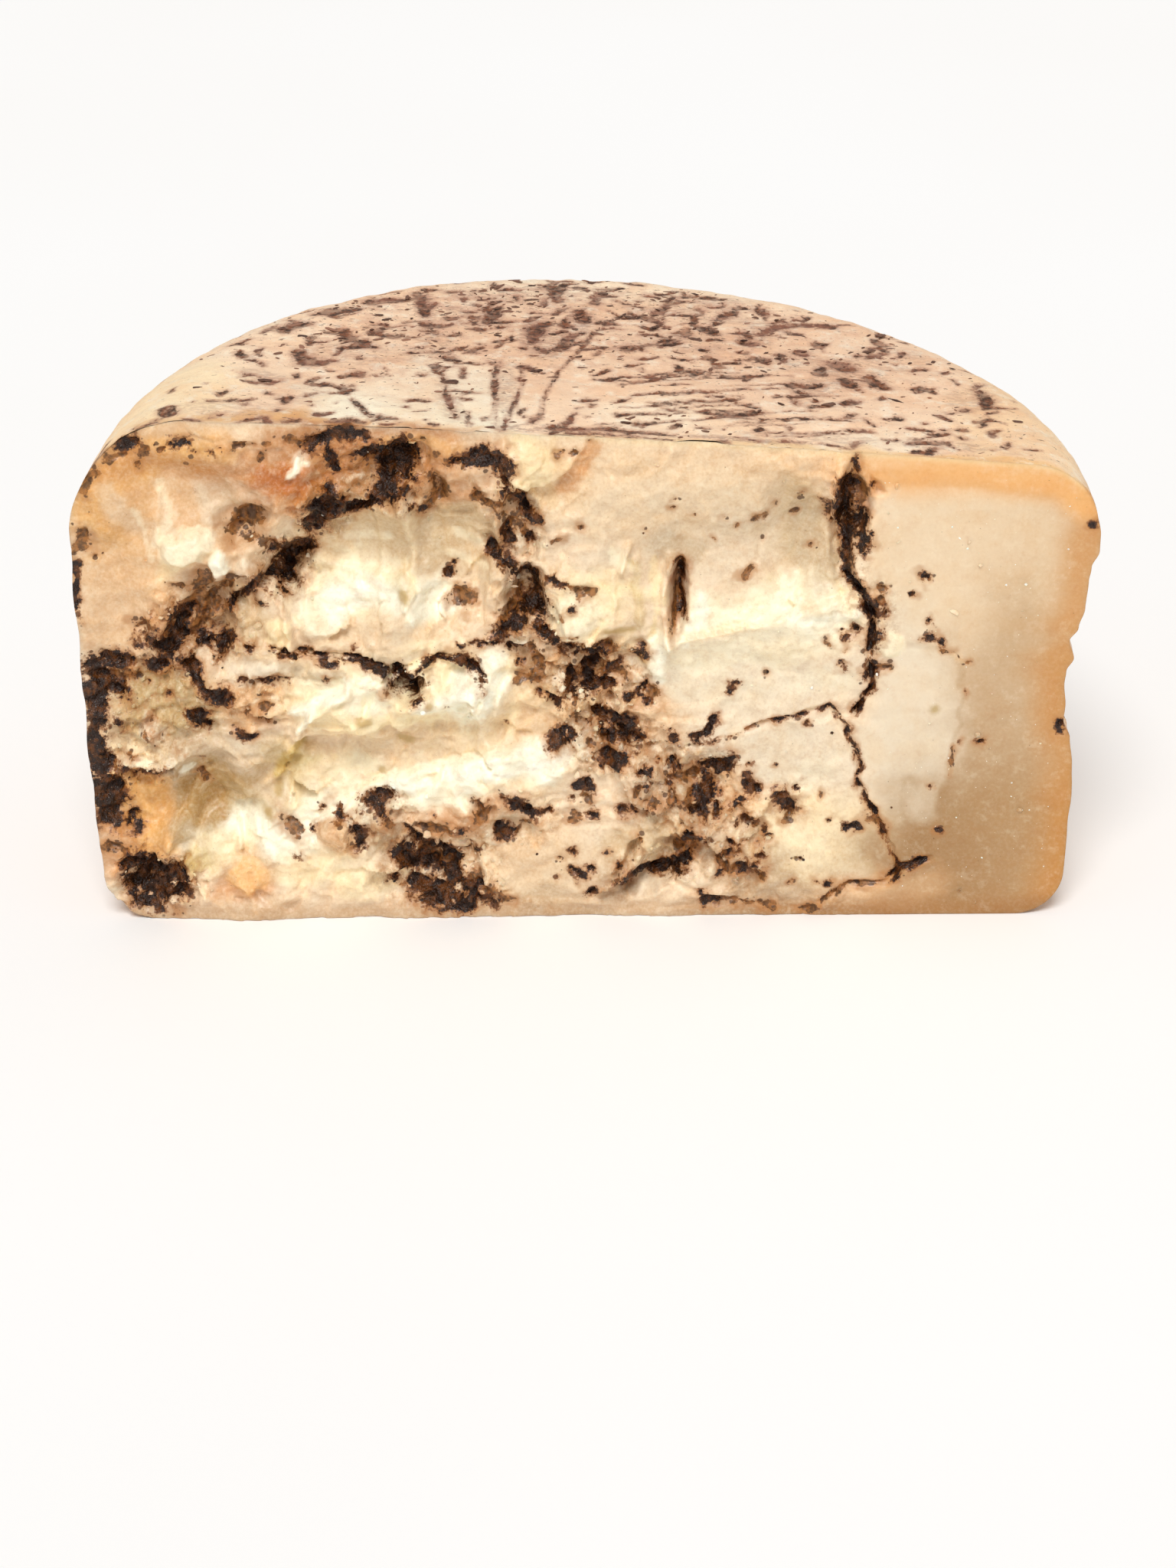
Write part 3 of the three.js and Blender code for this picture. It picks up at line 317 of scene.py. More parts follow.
# Many zones paint light and shade: milk, snow and cream zones on and below up-facing ledges and ridges are painted
# highlights; most olive, grey and moss zones, and earth zones in undercuts, are painted shade in hollows and under
# overhangs; the tan and earth zones at the lower right are partly painted shade.
# x, z, half width, half height, turn, tone, strength
TINTS = [
    (-108, 118, 26, 24, 0, "peach", 0.9), (-118, 92, 15, 18, 0, "peach", 0.75), (-103, 103, 8, 5, 20, "butter", 0.7),
    (-106, 114, 3, 8, 0, "bone", 0.5), (-66, 127, 17, 12, 0, "amber", 0.85), (-88, 119, 6, 9, -20, "grey", 0.45),
    (-82, 126, 16, 8, -10, "amber", 0.9), (-76, 127, 9, 6, 0, "rust", 0.55), (-40, 131, 15, 7, 0, "amber", 0.75),
    (-56, 137, 24, 4, 0, "rust", 0.7), (-106, 131, 20, 5, 8, "ochre", 0.85), (-124, 118, 6, 12, 0, "ochre", 0.8),
    (-88, 121, 7, 12, -20, "bone", 0.35), (-52, 122, 15, 12, 0, "amber", 0.45), (-32, 122, 9, 8, 0, "amber", 0.4), (-52, 109, 25, 14, 15, "olive", 0.9), (-59, 93, 15, 8, 5, "cream", 1),
    (-42, 91, 8, 7, 0, "milk", 0.9), (-45.5, 95, 3, 5, 0, "moss", 0.35), (-40, 83, 15, 4.5, 10, "sand", 0.8),
    (-58, 82, 18, 6, 4, "sand", 0.7), (-30, 107, 11, 13, 0, "olive", 0.75), (-12, 129, 7, 10, 10, "butter", 0.95),
    (-4, 127, 5, 6, -50, "apricot", 0.4), (0, 91, 10, 10, 0, "butter", 0.7), (20, 122, 42, 12, 0, "sand", 0.7),
    (28, 105, 22, 8, 0, "grey", 0.3), (57, 108, 9, 17, 5, "olive", 0.85), (46, 88, 27, 6, 12, "cream", 1),
    (58, 86, 12, 5, 8, "milk", 0.8), (22, 80, 9, 5, 30, "cream", 0.9), (42, 71, 30, 12, 0, "bone", 0.75),
    (46, 48, 27, 11, 0, "bone", 0.8), (60, 24, 22, 13, 0, "butter", 0.6), (50, 8, 14, 8, 0, "tan", 0.55),
    (100, 100, 30, 28, 0, "sand", 0.6), (84, 56, 12, 32, 0, "bone", 0.7), (112, 50, 20, 40, 0, "tan", 0.6),
    (104, 16, 34, 26, 0, "tan", 1), (104, 42, 24, 20, 0, "tan", 0.3), (84, 47, 11, 12, 0, "bone", 0.5),
    (-45, 66, 34, 12, 3, "butter", 1), (-34, 47, 40, 11, 14, "butter", 0.7),
    (-14, 49, 22, 6, 12, "milk", 1), (-29, 64, 8, 8, 45, "milk", 1), (-80, 27, 26, 8, 0, "cream", 1),
    (-72, 30, 14, 6, 0, "milk", 0.8), (-58, 41, 22, 6, 14, "cream", 0.9), (-56, 70, 17, 6, 4, "cream", 1), (-56, 69, 13, 4, 4, "milk", 0.6),
    (-40, 39, 16, 6, 14, "milk", 0.7), (-46, 51, 16, 6, 8, "sand", 0.9), (-74, 41, 7, 6, 0, "butter", 0.8), (-18, 57, 12, 4.5, 12, "sand", 0.6),
    (-99, 33, 11, 12, 0, "khaki", 0.85), (-107, 36, 4, 14, 0, "grey", 0.8), (-79, 44, 7, 8, 40, "moss", 0.5),
    (-83, 38, 4, 6, 0, "olive", 0.5), (-110, 62, 16, 12, 0, "khaki", 0.85), (-88, 64, 8, 7, 0, "peach", 0.9),
    (-95, 48, 14, 9, 0, "grey", 0.6), (-117, 48, 8, 4, 0, "butter", 0.5), (-117, 33, 9, 13, 0, "ochre", 1),
    (-125, 22, 6, 9, 0, "amber", 0.7), (-90, 24, 15, 7, 0, "milk", 0.9), (-96, 88, 14, 8, 35, "earth", 0.7), (-86, 86, 7, 9, 20, "olive", 0.7),
    (-84, 74, 8, 4, 4, "bone", 0.7), (-112, 72, 12, 4, 0, "earth", 0.6), (-66, 122, 6, 5, 0, "amber", 0.5), (-56, 124, 6, 8, 0, "earth", 0.5), (-38, 124, 7, 8, 0, "rust", 0.35),
    (-6, 62, 15, 13, 0, "peach", 0.5), (3, 54, 9, 7, 0, "earth", 0.6), (16, 56, 7, 9, 0, "peach", 0.5),
    (0, 72, 12, 6, 0, "earth", 0.5), (10, 78, 8, 5, 0, "olive", 0.7), (22, 37, 14, 12, -10, "earth", 0.55),
    (37, 35, 7, 7, 0, "peach", 0.6), (16, 22, 12, 7, 20, "olive", 0.7), (24, 19, 8, 4.5, 40, "earth", 0.8),
    (8, 11, 7, 5, 10, "earth", 0.7), (40, 17, 10, 8, 0, "earth", 0.5), (-15, 15, 17, 12, 0, "sand", 0.8),
    (-16, 4, 16, 5, 0, "tan", 0.4), (-22, 27, 7, 5, 0, "grey", 0.7), (-35, 29, 10, 5, 0, "amber", 0.6),
    (-26, 33, 8, 3, 20, "amber", 0.5), (-54, 27, 7, 7, 0, "earth", 0.7), (-67, 25, 6, 6, 0, "peach", 1),
    (-91, 12, 7, 6, 0, "amber", 0.7), (-97, 19, 9, 5, 0, "butter", 0.7), (-104, 18, 6, 4, 0, "moss", 0.5),
    (23, 105, 6, 5, 0, "grey", 0.7), (75, 6, 20, 6, 12, "peach", 0.7), (52, 31, 6, 5, 0, "rust", 0.35),
    (-70.8, 130.4, 2, 4, -22, "milk", 1), (69, 122, 4, 6, 0, "rust", 0.6), (-19, 88, 5, 6, 0, "earth", 0.6),
    (-17, 114, 6, 9, -15, "earth", 0.5), (-14, 73, 4, 6, 0, "earth", 0.8), (22.6, 91, 1.8, 9, -4, "rust", 0.8),
    (-70, 13, 18, 6, 0, "butter", 0.7), (-112, 57, 4, 4, 0, "bone", 0.7), (9, 104, 2, 4, -10, "cream", 0.8),
    (-102, 32, 5, 9, 10, "hay", 1), (44, 79, 27, 5, 13, "cream", 0.8), (94, 16, 20, 12, 0, "earth", 0.2),
    (34, 66, 16, 5, 8, "cream", 0.2), (56, 42, 10, 5, 20, "cream", 0.4), (60, 70, 9, 5, 0, "cream", 0.4), (-96, 38, 9, 4, 10, "hay", 0.6), (-75, 127, 9, 5, 0, "amber", 0.8),
    (-20, 48, 13, 3, 12, "snow", 0.7), (-58, 91, 8, 3, 5, "snow", 0.7),
    (-117, 118, 12, 13, 0, "ochre", 0.3), (-76, 127, 8, 5, 0, "flame", 0.75), (-118, 119, 9, 11, 0, "amber", 0.15), (-46, 49, 12, 5, 10, "sand", 0.4),
    (-72, 40, 6, 5, 0, "sand", 0.4), (-15, 20, 10, 8, 0, "peach", 0.3), (-104, 31, 4, 6, 0, "hay", 0.4),
    (57, 106, 6, 13, 4, "grey", 0.6), (46, 110, 6, 4, 20, "grey", 0.3), (-66, 112, 7, 6, 40, "olive", 0.7),
]
# Narrow tones along torn edges, many of them painted light and shade: milk and cream bands are painted highlights on
# lit lips and ridges, moss and grey bands are painted shadow beside ridges and under cracks, and the amber band in the
# groove by the cream block is partly painted shade: path, half width, tone, strength
BANDS = [
    ([(-4.5, 122.5), (0, 128), (4, 134)], 2.6, "amber", 0.7), ([(-107.4, 43), (-106.5, 34), (-110, 22)], 1.6, "hay", 0.5),
    ([(-76.4, 62), (-70.3, 65.6), (-62.8, 67.6), (-61, 71)], 1.4, "milk", 0.9), ([(-70.9, 63.5), (-74.3, 56.6)], 1.4, "milk", 0.9),
    ([(-74.5, 51), (-78.5, 46), (-81, 41.5)], 1.9, "moss", 0.75), ([(-42, 63), (-36, 64), (-29, 69), (-23, 75.6)], 3.6, "milk", 0.9),
    ([(20, 81), (17.5, 74), (18, 69)], 2.2, "milk", 0.8), ([(-66, 90), (-50, 92)], 3.6, "milk", 0.7), ([(-43, 88), (-36, 88)], 3.2, "milk", 0.9),
    ([(-113, 132), (-96, 130), (-84, 127)], 2.8, "amber", 0.5), ([(-74, 26), (-55, 37), (-36, 43), (-13, 49.5)], 3.4, "milk", 0.9),
    ([(25, 80), (29, 86), (30, 92)], 2.4, "milk", 0.7), ([(-43.8, 119), (-43.6, 98)], 1.8, "cream", 0.45), ([(-40.6, 117), (-40.6, 99)], 2.4, "grey", 0.45),
    ([(-32, 108), (-25, 104)], 1.6, "cream", 0.7), ([(-34, 102), (-26, 99)], 1.4, "cream", 0.7), ([(-60, 106), (-50, 107)], 1.6, "cream", 0.5),
    ([(-49, 135), (-40, 136), (-30, 133)], 2.4, "apricot", 0.6), ([(-58, 78), (-49, 75.6), (-40, 78.6)], 1.2, "grey", 0.6),
    ([(-110, 43.6), (-122, 43)], 1.2, "umber", 0.6), ([(-88, 72), (-74, 72), (-63, 72.6)], 2.0, "grey", 0.7),
    ([(2, 96), (14, 94), (20, 92)], 2.0, "butter", 0.6), ([(-18, 62), (-20, 55)], 2.2, "butter", 0.6),
    ([(-120, 124), (-113, 113), (-104, 110)], 3.4, "bone", 0.3), ([(-106, 124), (-104, 116), (-108, 108)], 1.3, "cream", 0.55),
    ([(-98, 124), (-94, 114)], 1.6, "bone", 0.35), ([(-113, 118), (-109, 104)], 1.0, "cream", 0.4),
    ([(74, 125), (100, 123.4), (118, 120)], 2.6, "amber", 0.55), ([(13, 102), (14, 92), (14, 84)], 1.6, "moss", 0.35),
    ([(17.6, 103), (18.4, 90), (18, 82)], 1.1, "butter", 0.7),
    ([(80, 79), (90, 77.6), (97, 73), (95.6, 60), (94.4, 44), (91, 30)], 1.1, "tan", 0.3),
    ([(78, 76), (88, 74.6), (93, 70), (91.6, 58), (90.4, 44), (87, 30)], 4.0, "bone", 0.35), ([(-122, 128), (-108, 129), (-92, 126)], 3.2, "amber", 0.45),
]
# Where the paste broke into crumbs: x, z, half width, half height, strength
CRUMBLY = [
    (-112, 62, 20, 18, 0.75), (-98, 86, 18, 14, 0.9), (-86, 66, 12, 8, 0.9), (-52, 126, 20, 14, 0.8), (-66, 115, 10, 12, 0.8),
    (-17, 112, 10, 16, 0.8), (-14, 90, 10, 14, 0.8), (2, 68, 18, 16, 1), (6, 52, 16, 14, 1), (24, 38, 18, 16, 1),
    (38, 24, 12, 20, 0.8), (-40, 14, 22, 18, 0.9), (-54, 28, 12, 12, 0.8), (-114, 12, 16, 12, 0.9), (-118, 46, 12, 8, 0.8),
    (-20, 30, 18, 12, 0.6), (68, 108, 6, 26, 0.7), (74, 86, 8, 14, 0.6), (-76, 100, 10, 12, 0.8), (52, 33, 8, 8, 0.6),
    (-66, 26, 10, 8, 0.5), (20, 16, 18, 8, 0.7),
]

# Where the break is smooth and waxy: x, z, half width, half height
WAXY = [
    (30, 108, 40, 28), (45, 70, 34, 18), (46, 46, 34, 16), (60, 24, 26, 16), (-105, 120, 28, 22), (-120, 95, 14, 20),
    (-12, 18, 22, 16), (-50, 106, 28, 12),
]

# ------------------------------------------------------------------ dark dashes on the rind's top, x y half width
DASHES = [
    [(-60, 91, 1.8), (-55, 93, 2), (-50, 94, 1.6)], [(-73, 80, 1.5), (-68, 82, 2.4), (-63, 84, 1.8)],
    [(-80, 66, 2), (-78.5, 69, 1.8), (-75, 71.5, 1.8)], [(-64, 68, 1.5), (-62.6, 64, 2), (-62, 61, 1.6)],
    [(-61.6, 55, 1.8), (-58.6, 56.6, 2.4), (-58, 60, 1.6)], [(-57, 67, 1.2), (-53.6, 65.4, 1.4), (-50.6, 64.4, 1.2)],
    [(-75, 51, 1.6), (-72.6, 45.4, 2), (-72, 43, 2.4), (-68, 43, 1.6)], [(-65, 45.4, 1.1)], [(-90, 48, 1.1), (-88.6, 45.4, 1.3)],
    [(-36.6, 50.4, 1.4), (-35, 49.6, 1.8)], [(-33, 57, 1.1)], [(-43, 57, 1.1)], [(-46, 96, 1.4), (-45, 88, 1.3), (-43.8, 82, 1.1)],
    [(-38.4, 101, 1.2), (-36.4, 102, 1)], [(-47, 99, 1.8)], [(-26, 86, 1.6), (-26.4, 81, 2.2), (-27, 78, 1.6)],
    [(-30.6, 92, 0.8)], [(-24.6, 92, 1), (-24.8, 88, 0.8)], [(-43, 75, 1.8), (-39, 74, 1.8), (-37, 75, 1.2)],
    [(-36, 66.6, 1.2), (-34, 68, 1)], [(-11, 80, 1.8), (-14, 76, 2.4), (-14, 70, 1.8), (-15, 64, 1.2)],
    [(-10.6, 109, 1.6), (-10, 104, 2), (-9, 98, 1.4)], [(-12.6, 97, 0.9)], [(2, 110, 1), (4.6, 110, 0.9)],
    [(1.4, 102, 1), (1.4, 97, 1.6)], [(7, 100, 0.8)], [(-3, 90, 1.2), (-2, 86, 2.2), (-1, 83, 1.6)], [(2.4, 82, 1.2)],
    [(-1.6, 74, 1.3)], [(-4, 72, 1.6), (-6, 66, 1.3), (-8, 60, 1)], [(-16.4, 60, 1.2)],
    [(11, 91, 1.1), (15, 88, 1.4), (19, 85.4, 1.2)], [(15, 81, 1.2), (17, 79.6, 1.3)], [(24, 107, 1), (28, 107, 1.2)],
    [(13, 101, 0.8)], [(22.6, 106, 0.8), (20.6, 99, 0.8), (20, 94, 0.7)], [(38, 96, 0.8), (36, 92, 1.3), (34.6, 89, 0.8)],
    [(29, 84, 1.1), (32, 80, 1.9), (34, 78, 1.2)], [(26.6, 78.6, 1.2), (26, 76, 1.5)],
    [(46, 100, 1.6), (47, 96.6, 1.6)], [(45.6, 79, 1), (48, 83, 1.3), (51, 86.6, 1.8), (55, 89.6, 1.8), (59, 90.4, 1.2)],
    [(62, 89, 1.4), (65, 88.4, 1.6)], [(10.4, 63, 1.8), (13, 65, 1.2), (17.6, 68, 0.9), (21, 71, 1)],
    [(76.4, 82, 0.9), (77.4, 78.6, 1.5), (79, 77, 1.2)], [(61, 74, 1.5)], [(82.6, 69, 0.7)],
    [(41, 73, 1.5), (44, 72, 1.7)], [(42, 80, 1), (43, 76, 1.2)], [(44, 62, 1.2), (47, 60.6, 1.2)], [(31, 65.4, 1.2)],
    [(56.4, 68, 1.2), (57.6, 65, 0.8)], [(51, 65, 1), (52, 60, 0.8)], [(66, 60.4, 2.4), (68, 57, 2.4)], [(61, 54, 1.4), (62, 57, 1)],
    [(67.4, 49, 1.6), (69, 45.6, 2)], [(71, 43.4, 1)], [(74, 52.6, 1.2), (75.4, 49, 1.6), (78, 45.4, 1.3)],
    [(53, 42, 1.2), (58, 43, 1.4), (61, 45, 1.2)], [(55, 39, 1), (58, 37, 1)], [(53, 35, 0.7), (55, 30, 0.6)],
    [(67, 32, 1.3), (69.6, 34.4, 1.6)], [(58, 29, 0.8), (63, 30, 0.8)], [(94, 59.4, 0.9)], [(96, 55, 0.6), (97, 51, 0.5)],
    [(102.4, 47, 1.2), (104, 42, 2), (103.4, 36, 1.3)], [(100, 25, 0.8), (104, 27, 1)], [(111, 44, 0.5)],
    [(2, 42, 0.4), (6, 46, 0.9)], [(11, 41, 0.4), (17, 44, 0.7), (23, 48, 0.4)], [(9, 36, 0.4), (18, 40, 0.6)],
    [(13, 30, 0.5), (24, 33, 0.7), (34, 35, 0.5), (42, 38.4, 0.5)], [(19, 24.4, 0.6), (24, 26.4, 0.8), (31, 28, 0.8)],
    [(33, 28, 0.5), (37.6, 31, 0.8)], [(31, 16, 0.6), (38, 19, 1.3), (42, 21, 1.4), (46, 23, 0.6)], [(41, 27, 0.8), (44, 26, 0.7)],
    [(11, 50, 0.6), (15, 52, 0.5)], [(28, 55, 0.5)], [(34, 56, 0.5), (40, 57, 0.6)],
    [(-7, 1, 1), (-4.4, 5, 1.2), (-3, 10, 0.9), (-1.4, 16, 0.4)], [(-3, 1.6, 0.7), (6, 2, 0.6), (20, 1.4, 0.4)],
    [(-9, 5, 0.5), (-2, 4.6, 0.9), (8, 6, 1.2), (15, 5.4, 0.6), (24, 4.6, 0.35)], [(29, 10, 0.5), (32, 10, 0.6)],
    [(36, 9.4, 0.4)], [(39, 5, 0.3), (45, 2.6, 0.5)], [(50, 3.6, 0.6), (56, 4.6, 0.5)], [(60, 4, 0.4), (68, 2.4, 0.6)],
    [(52.4, 13.6, 0.8), (52.4, 12, 0.5)], [(46.4, 7.4, 0.7)], [(56, 10.6, 0.4), (63, 11.4, 0.5)], [(59, 21, 0.4), (68, 20, 0.5)],
    [(76, 9.6, 0.6), (79, 9.4, 0.8)], [(82, 8, 0.7), (87, 8.4, 1), (91, 10, 0.8)], [(77, 24, 0.8), (80, 25, 0.7)],
    [(87, 22.6, 0.9)], [(83.4, 18, 0.8)], [(92, 19, 0.8)], [(96, 14, 1.1)], [(87, 2, 0.8)], [(77, 3, 0.6)], [(103.4, 7, 0.6)],
    [(72, 22, 0.7), (74, 18, 0.5)], [(13.6, 10, 0.7)], [(1.4, 12.6, 0.5)], [(2.6, 21, 0.9)], [(-1, 19, 0.5)], [(9, 14.6, 0.4)],
    [(-10, 8, 0.3), (-10, 22, 0.4), (-9, 30, 0.35), (-6.6, 44, 0.35), (-3, 56, 0.5), (0, 66, 0.7), (2, 78, 0.5)],
    [(-19.4, 1, 0.5), (-18.6, 8, 0.6), (-17, 20, 0.4), (-15.6, 34, 0.35), (-16.4, 48, 0.4)],
    [(-21.4, 2, 0.2), (-22, 20, 0.3), (-22.6, 30, 0.8), (-23, 38, 0.7), (-22.4, 50, 0.4)],
    [(-31, 8, 0.6), (-33, 16, 0.7), (-35, 28, 0.35), (-36.4, 38, 0.6), (-40, 44, 0.6)], [(-29.8, 25.4, 0.8)],
    [(-27.6, 4, 0.4), (-28.6, 14, 0.5)], [(-31.6, 43, 0.7), (-31, 37, 0.7)], [(-28, 62, 0.9)], [(-23.4, 60, 0.8), (-22, 64, 0.6)],
    [(-52, 5, 0.5), (-55, 12, 0.7), (-58, 19, 0.6)], [(-60, 22, 0.7), (-62, 28, 0.6)], [(-58, 37, 1.3), (-57, 34.4, 1)],
    [(-59, 28, 0.8)], [(-74, 18, 1.3), (-75, 14, 0.9)], [(-84.6, 12, 0.9)], [(-104, 9, 2), (-103, 6, 2)], [(-106, 4, 0.9)],
    [(-94, 14, 0.6), (-90, 15, 0.5)], [(-92, 4, 0.9)], [(-98, 13, 0.6)], [(-74, 35, 0.7), (-73.6, 32, 0.9)], [(-80, 28, 1.4), (-78, 30, 0.8)],
    [(-90, 35, 0.3), (-85, 33, 0.5), (-80, 31, 0.5)], [(-68, 13, 0.7)], [(-62, 15.6, 0.6)], [(-44, 14, 0.8)], [(-38.6, 5.6, 0.4)],
    [(-85, 0.6, 0.8)], [(-79, 4, 0.9), (-77, -1, 1.2)], [(-112, 3, 0.6)], [(-85, -3, 0.8)], [(-53, 35.4, 0.9)], [(-96, 26, 0.5)],
    [(-110, 1.5, 0.8), (-106, 2, 0.7)], [(-98, 2, 1.1), (-95, 1.4, 0.8)], [(-90, 6, 0.9)], [(-83, 2, 1.2), (-80, 3, 0.8)],
    [(-73, 2, 1.3), (-70, 3, 1)], [(-66, 7, 1), (-63, 9, 0.9)], [(-76, 9, 0.8)], [(-86, 14, 0.8), (-83, 16, 0.6)],
    [(-70, 20, 0.8), (-67, 22, 0.6)], [(-80, 21, 0.7)], [(-62, 3, 1.2), (-58, 4, 1.4), (-54, 3, 1)], [(-49, 2, 0.8), (-45, 3, 0.6)],
    [(-84, 94, 1.2), (-78, 101, 1)], [(-75, 102, 1), (-67, 108.6, 1)], [(-62, 109, 1), (-54, 114.4, 1.2)], [(-52, 115, 0.8), (-48, 116.4, 0.7)],
    [(-14, 128, 0.9), (-8, 127, 1)], [(2, 127.4, 0.9), (6, 126.8, 0.9)], [(23, 125.4, 0.8), (28, 124, 0.9)], [(45, 119.4, 1), (49, 118.6, 0.7)],
    [(77, 102.6, 1), (80, 100.4, 0.9)], [(94, 88, 0.8), (98, 84, 0.8)], [(103, 78, 0.8), (108, 71, 0.9)], [(110, 66, 0.7), (112.4, 60.6, 0.8)],
    [(-42, 120, 0.8), (-36, 122, 0.7)], [(-96, 86, 0.6), (-93, 89, 0.6)], [(88, 94, 0.5)], [(60, 112, 0.8), (66, 109.6, 0.9)],
]
# Purple-brown smears between the dashes: x, y, half width, half length, turn, strength
SMEARS = [
    (-44, 88, 3.5, 14, 8, 0.7), (-33, 80, 4, 14, 25, 0.5), (-14, 72, 5, 14, -4, 0.7), (-26, 82, 4, 9, 0, 0.7),
    (-3, 82, 5, 16, -6, 0.6), (-9, 64, 6, 16, -12, 0.5), (-44, 51, 6, 7, 0, 0.3), (-40, 62, 6, 8, 0, 0.4),
    (58, 41, 9, 7, -20, 0.45), (55, 33, 4, 6, -20, 0.4), (66, 58, 8, 9, 0, 0.5), (75, 50, 6, 9, 10, 0.45),
    (44, 76, 6, 9, 10, 0.5), (55, 62, 8, 8, 0, 0.35), (48, 86, 9, 6, 30, 0.35), (-82, 32, 9, 5, -30, 0.4),
    (-71, 45, 6, 8, 10, 0.4), (12, 64, 10, 4, 30, 0.35), (90, 8, 16, 4, 0, 0.4), (58, 8, 22, 4, 0, 0.35),
    (40, 20, 10, 5, 20, 0.5), (8, 4.4, 16, 3, 0, 0.65), (42, 3.6, 24, 2, 0, 0.6), (-14, 4, 8, 3, 0, 0.6), (-88, 9, 18, 6, 0, 0.3), (-72, 20, 10, 8, 0, 0.2), (-60, 50, 14, 12, 0, 0.3),
    (24, 100, 26, 10, 0, 0.25), (-20, 100, 24, 10, 0, 0.25), (80, 66, 14, 12, 0, 0.3), (26, 70, 16, 10, 0, 0.25), (-20, 30, 4, 24, 4, 0.4), (-34, 22, 4, 20, 8, 0.35),
    (30, 92, 20, 8, -20, 0.3), (-70, 100, 12, 6, 35, 0.3), (64, 46, 9, 6, 0, 0.4), (98, 40, 6, 12, -5, 0.3),
]
# Tones of the top: x, y, half width, half length, turn, tone, strength
TOP_TONE = {
    "pale": "#ffeacb", "cream": "#ffe6b8", "ivory": "#fff4d8", "rose": "#e2b595", "honey": "#efc182", "blush": "#eec6a4", "amber": "#d39450",
}
TOP_TINTS = [
    (-32, 22, 16, 30, 12, "ivory", 0.95), (-58, 14, 16, 18, 0, "ivory", 0.95), (-45, 30, 12, 12, 0, "pale", 0.7),
    (-108, 40, 14, 60, 0, "pale", 0.6), (-85, 55, 14, 40, 15, "pale", 0.3), (0, 60, 70, 45, 0, "blush", 0.45),
    (60, 60, 45, 40, 0, "rose", 0.3), (-15, 80, 40, 30, 0, "rose", 0.25), (10, 118, 90, 18, 0, "pale", 0.6),
    (28, 14, 18, 12, 0, "pale", 0.5), (76, 7, 12, 8, 0, "ivory", 0.4), (110, 20, 16, 50, 0, "honey", 0.35),
    (60, -2, 70, 5, 0, "honey", 0.5), (-75, -1, 40, 7, 0, "honey", 0.7), (-55, -2, 30, 5, 0, "amber", 0.6),
    (20, 20, 14, 12, 0, "pale", 0.6), (-70, 38, 20, 16, 0, "blush", 0.4), (-84, 14, 20, 10, 0, "blush", 0.35), (-115, 2, 14, 10, 0, "honey", 0.4), (-104, 22, 16, 22, 0, "cream", 0.6), (-84, 3, 34, 4, 0, "amber", 0.35),
]


# ------------------------------------------------------------------ numbers that repeat exactly
def lattice(ix, iz, salt=0):
    """Repeatable value from 0 to 1 for each pair of whole numbers."""
    mask = np.uint64(0xFFFFFFFF)
    a = (ix.astype(np.int64) & 0xFFFFFFFF).astype(np.uint64)
    b = (iz.astype(np.int64) & 0xFFFFFFFF).astype(np.uint64)
    n = (a * np.uint64(374761393) + b * np.uint64(668265263) + np.uint64(salt * 974711)) & mask
    n = ((n ^ (n >> np.uint64(13))) * np.uint64(1274126177)) & mask
    n = n ^ (n >> np.uint64(16))
    return n.astype(np.float64) / 4294967296.0


def ease(t):
    t = np.clip(t, 0, 1)
    return t * t * (3 - 2 * t)


def grain(x, z, salt=0):
    """Smooth noise from -1 to 1 with cells of one unit."""
    ix = np.floor(x)
    iz = np.floor(z)
    fx = ease(x - ix)
    fz = ease(z - iz)
    a = lattice(ix, iz, salt)
    b = lattice(ix + 1, iz, salt)
    c = lattice(ix, iz + 1, salt)
    d = lattice(ix + 1, iz + 1, salt)
    low = a + (b - a) * fx
    high = c + (d - c) * fx
    return 2 * (low + (high - low) * fz) - 1


def layers(x, z, size, count, salt=0):
    total = np.zeros_like(x)
    weight = 1.0
    for k in range(count):
        total += weight * grain(x / size, z / size, salt + k)
        weight *= 0.5
        size *= 0.5
    return total


def chips(x, z, size, salt=0):
    """Distance to the nearest and second nearest of scattered points, in units of size, and a value for the nearest."""
    u = x / size
    v = z / size
    iu = np.floor(u)
    iv = np.floor(v)
    near = np.full(x.shape, 9.0)
    second = np.full(x.shape, 9.0)
    kind = np.zeros(x.shape)
    tilt = np.zeros(x.shape)
    for di in (-1, 0, 1):
        for dj in (-1, 0, 1):
            cu = iu + di
            cv = iv + dj
            pu = cu + lattice(cu, cv, salt + 11)
            pv = cv + lattice(cu, cv, salt + 12)
            d = np.hypot(u - pu, v - pv)
            angle = 2 * np.pi * lattice(cu, cv, salt + 13)
            closer = d < near
            second = np.where(closer, near, np.minimum(second, d))
            kind = np.where(closer, lattice(cu, cv, salt + 14), kind)
            tilt = np.where(closer, (u - pu) * np.cos(angle) + (v - pv) * np.sin(angle), tilt)
            near = np.where(closer, d, near)
    return near, second, kind, tilt


# ------------------------------------------------------------------ forms of the cut face
def ellipse(x, z, cx, cz, hx, hz, turn):
    """Squared distance from the centre of an ellipse, 1 on its rim."""
    a = math.radians(turn)
    dx = x - cx
    dz = z - cz
    along = (dx * math.cos(a) + dz * math.sin(a)) / hx
    across = (dz * math.cos(a) - dx * math.sin(a)) / hz
    return along * along + across * across


def dish(x, z, cx, cz, hx, hz, turn):
    return np.maximum(0, 1 - ellipse(x, z, cx, cz, hx, hz, turn))


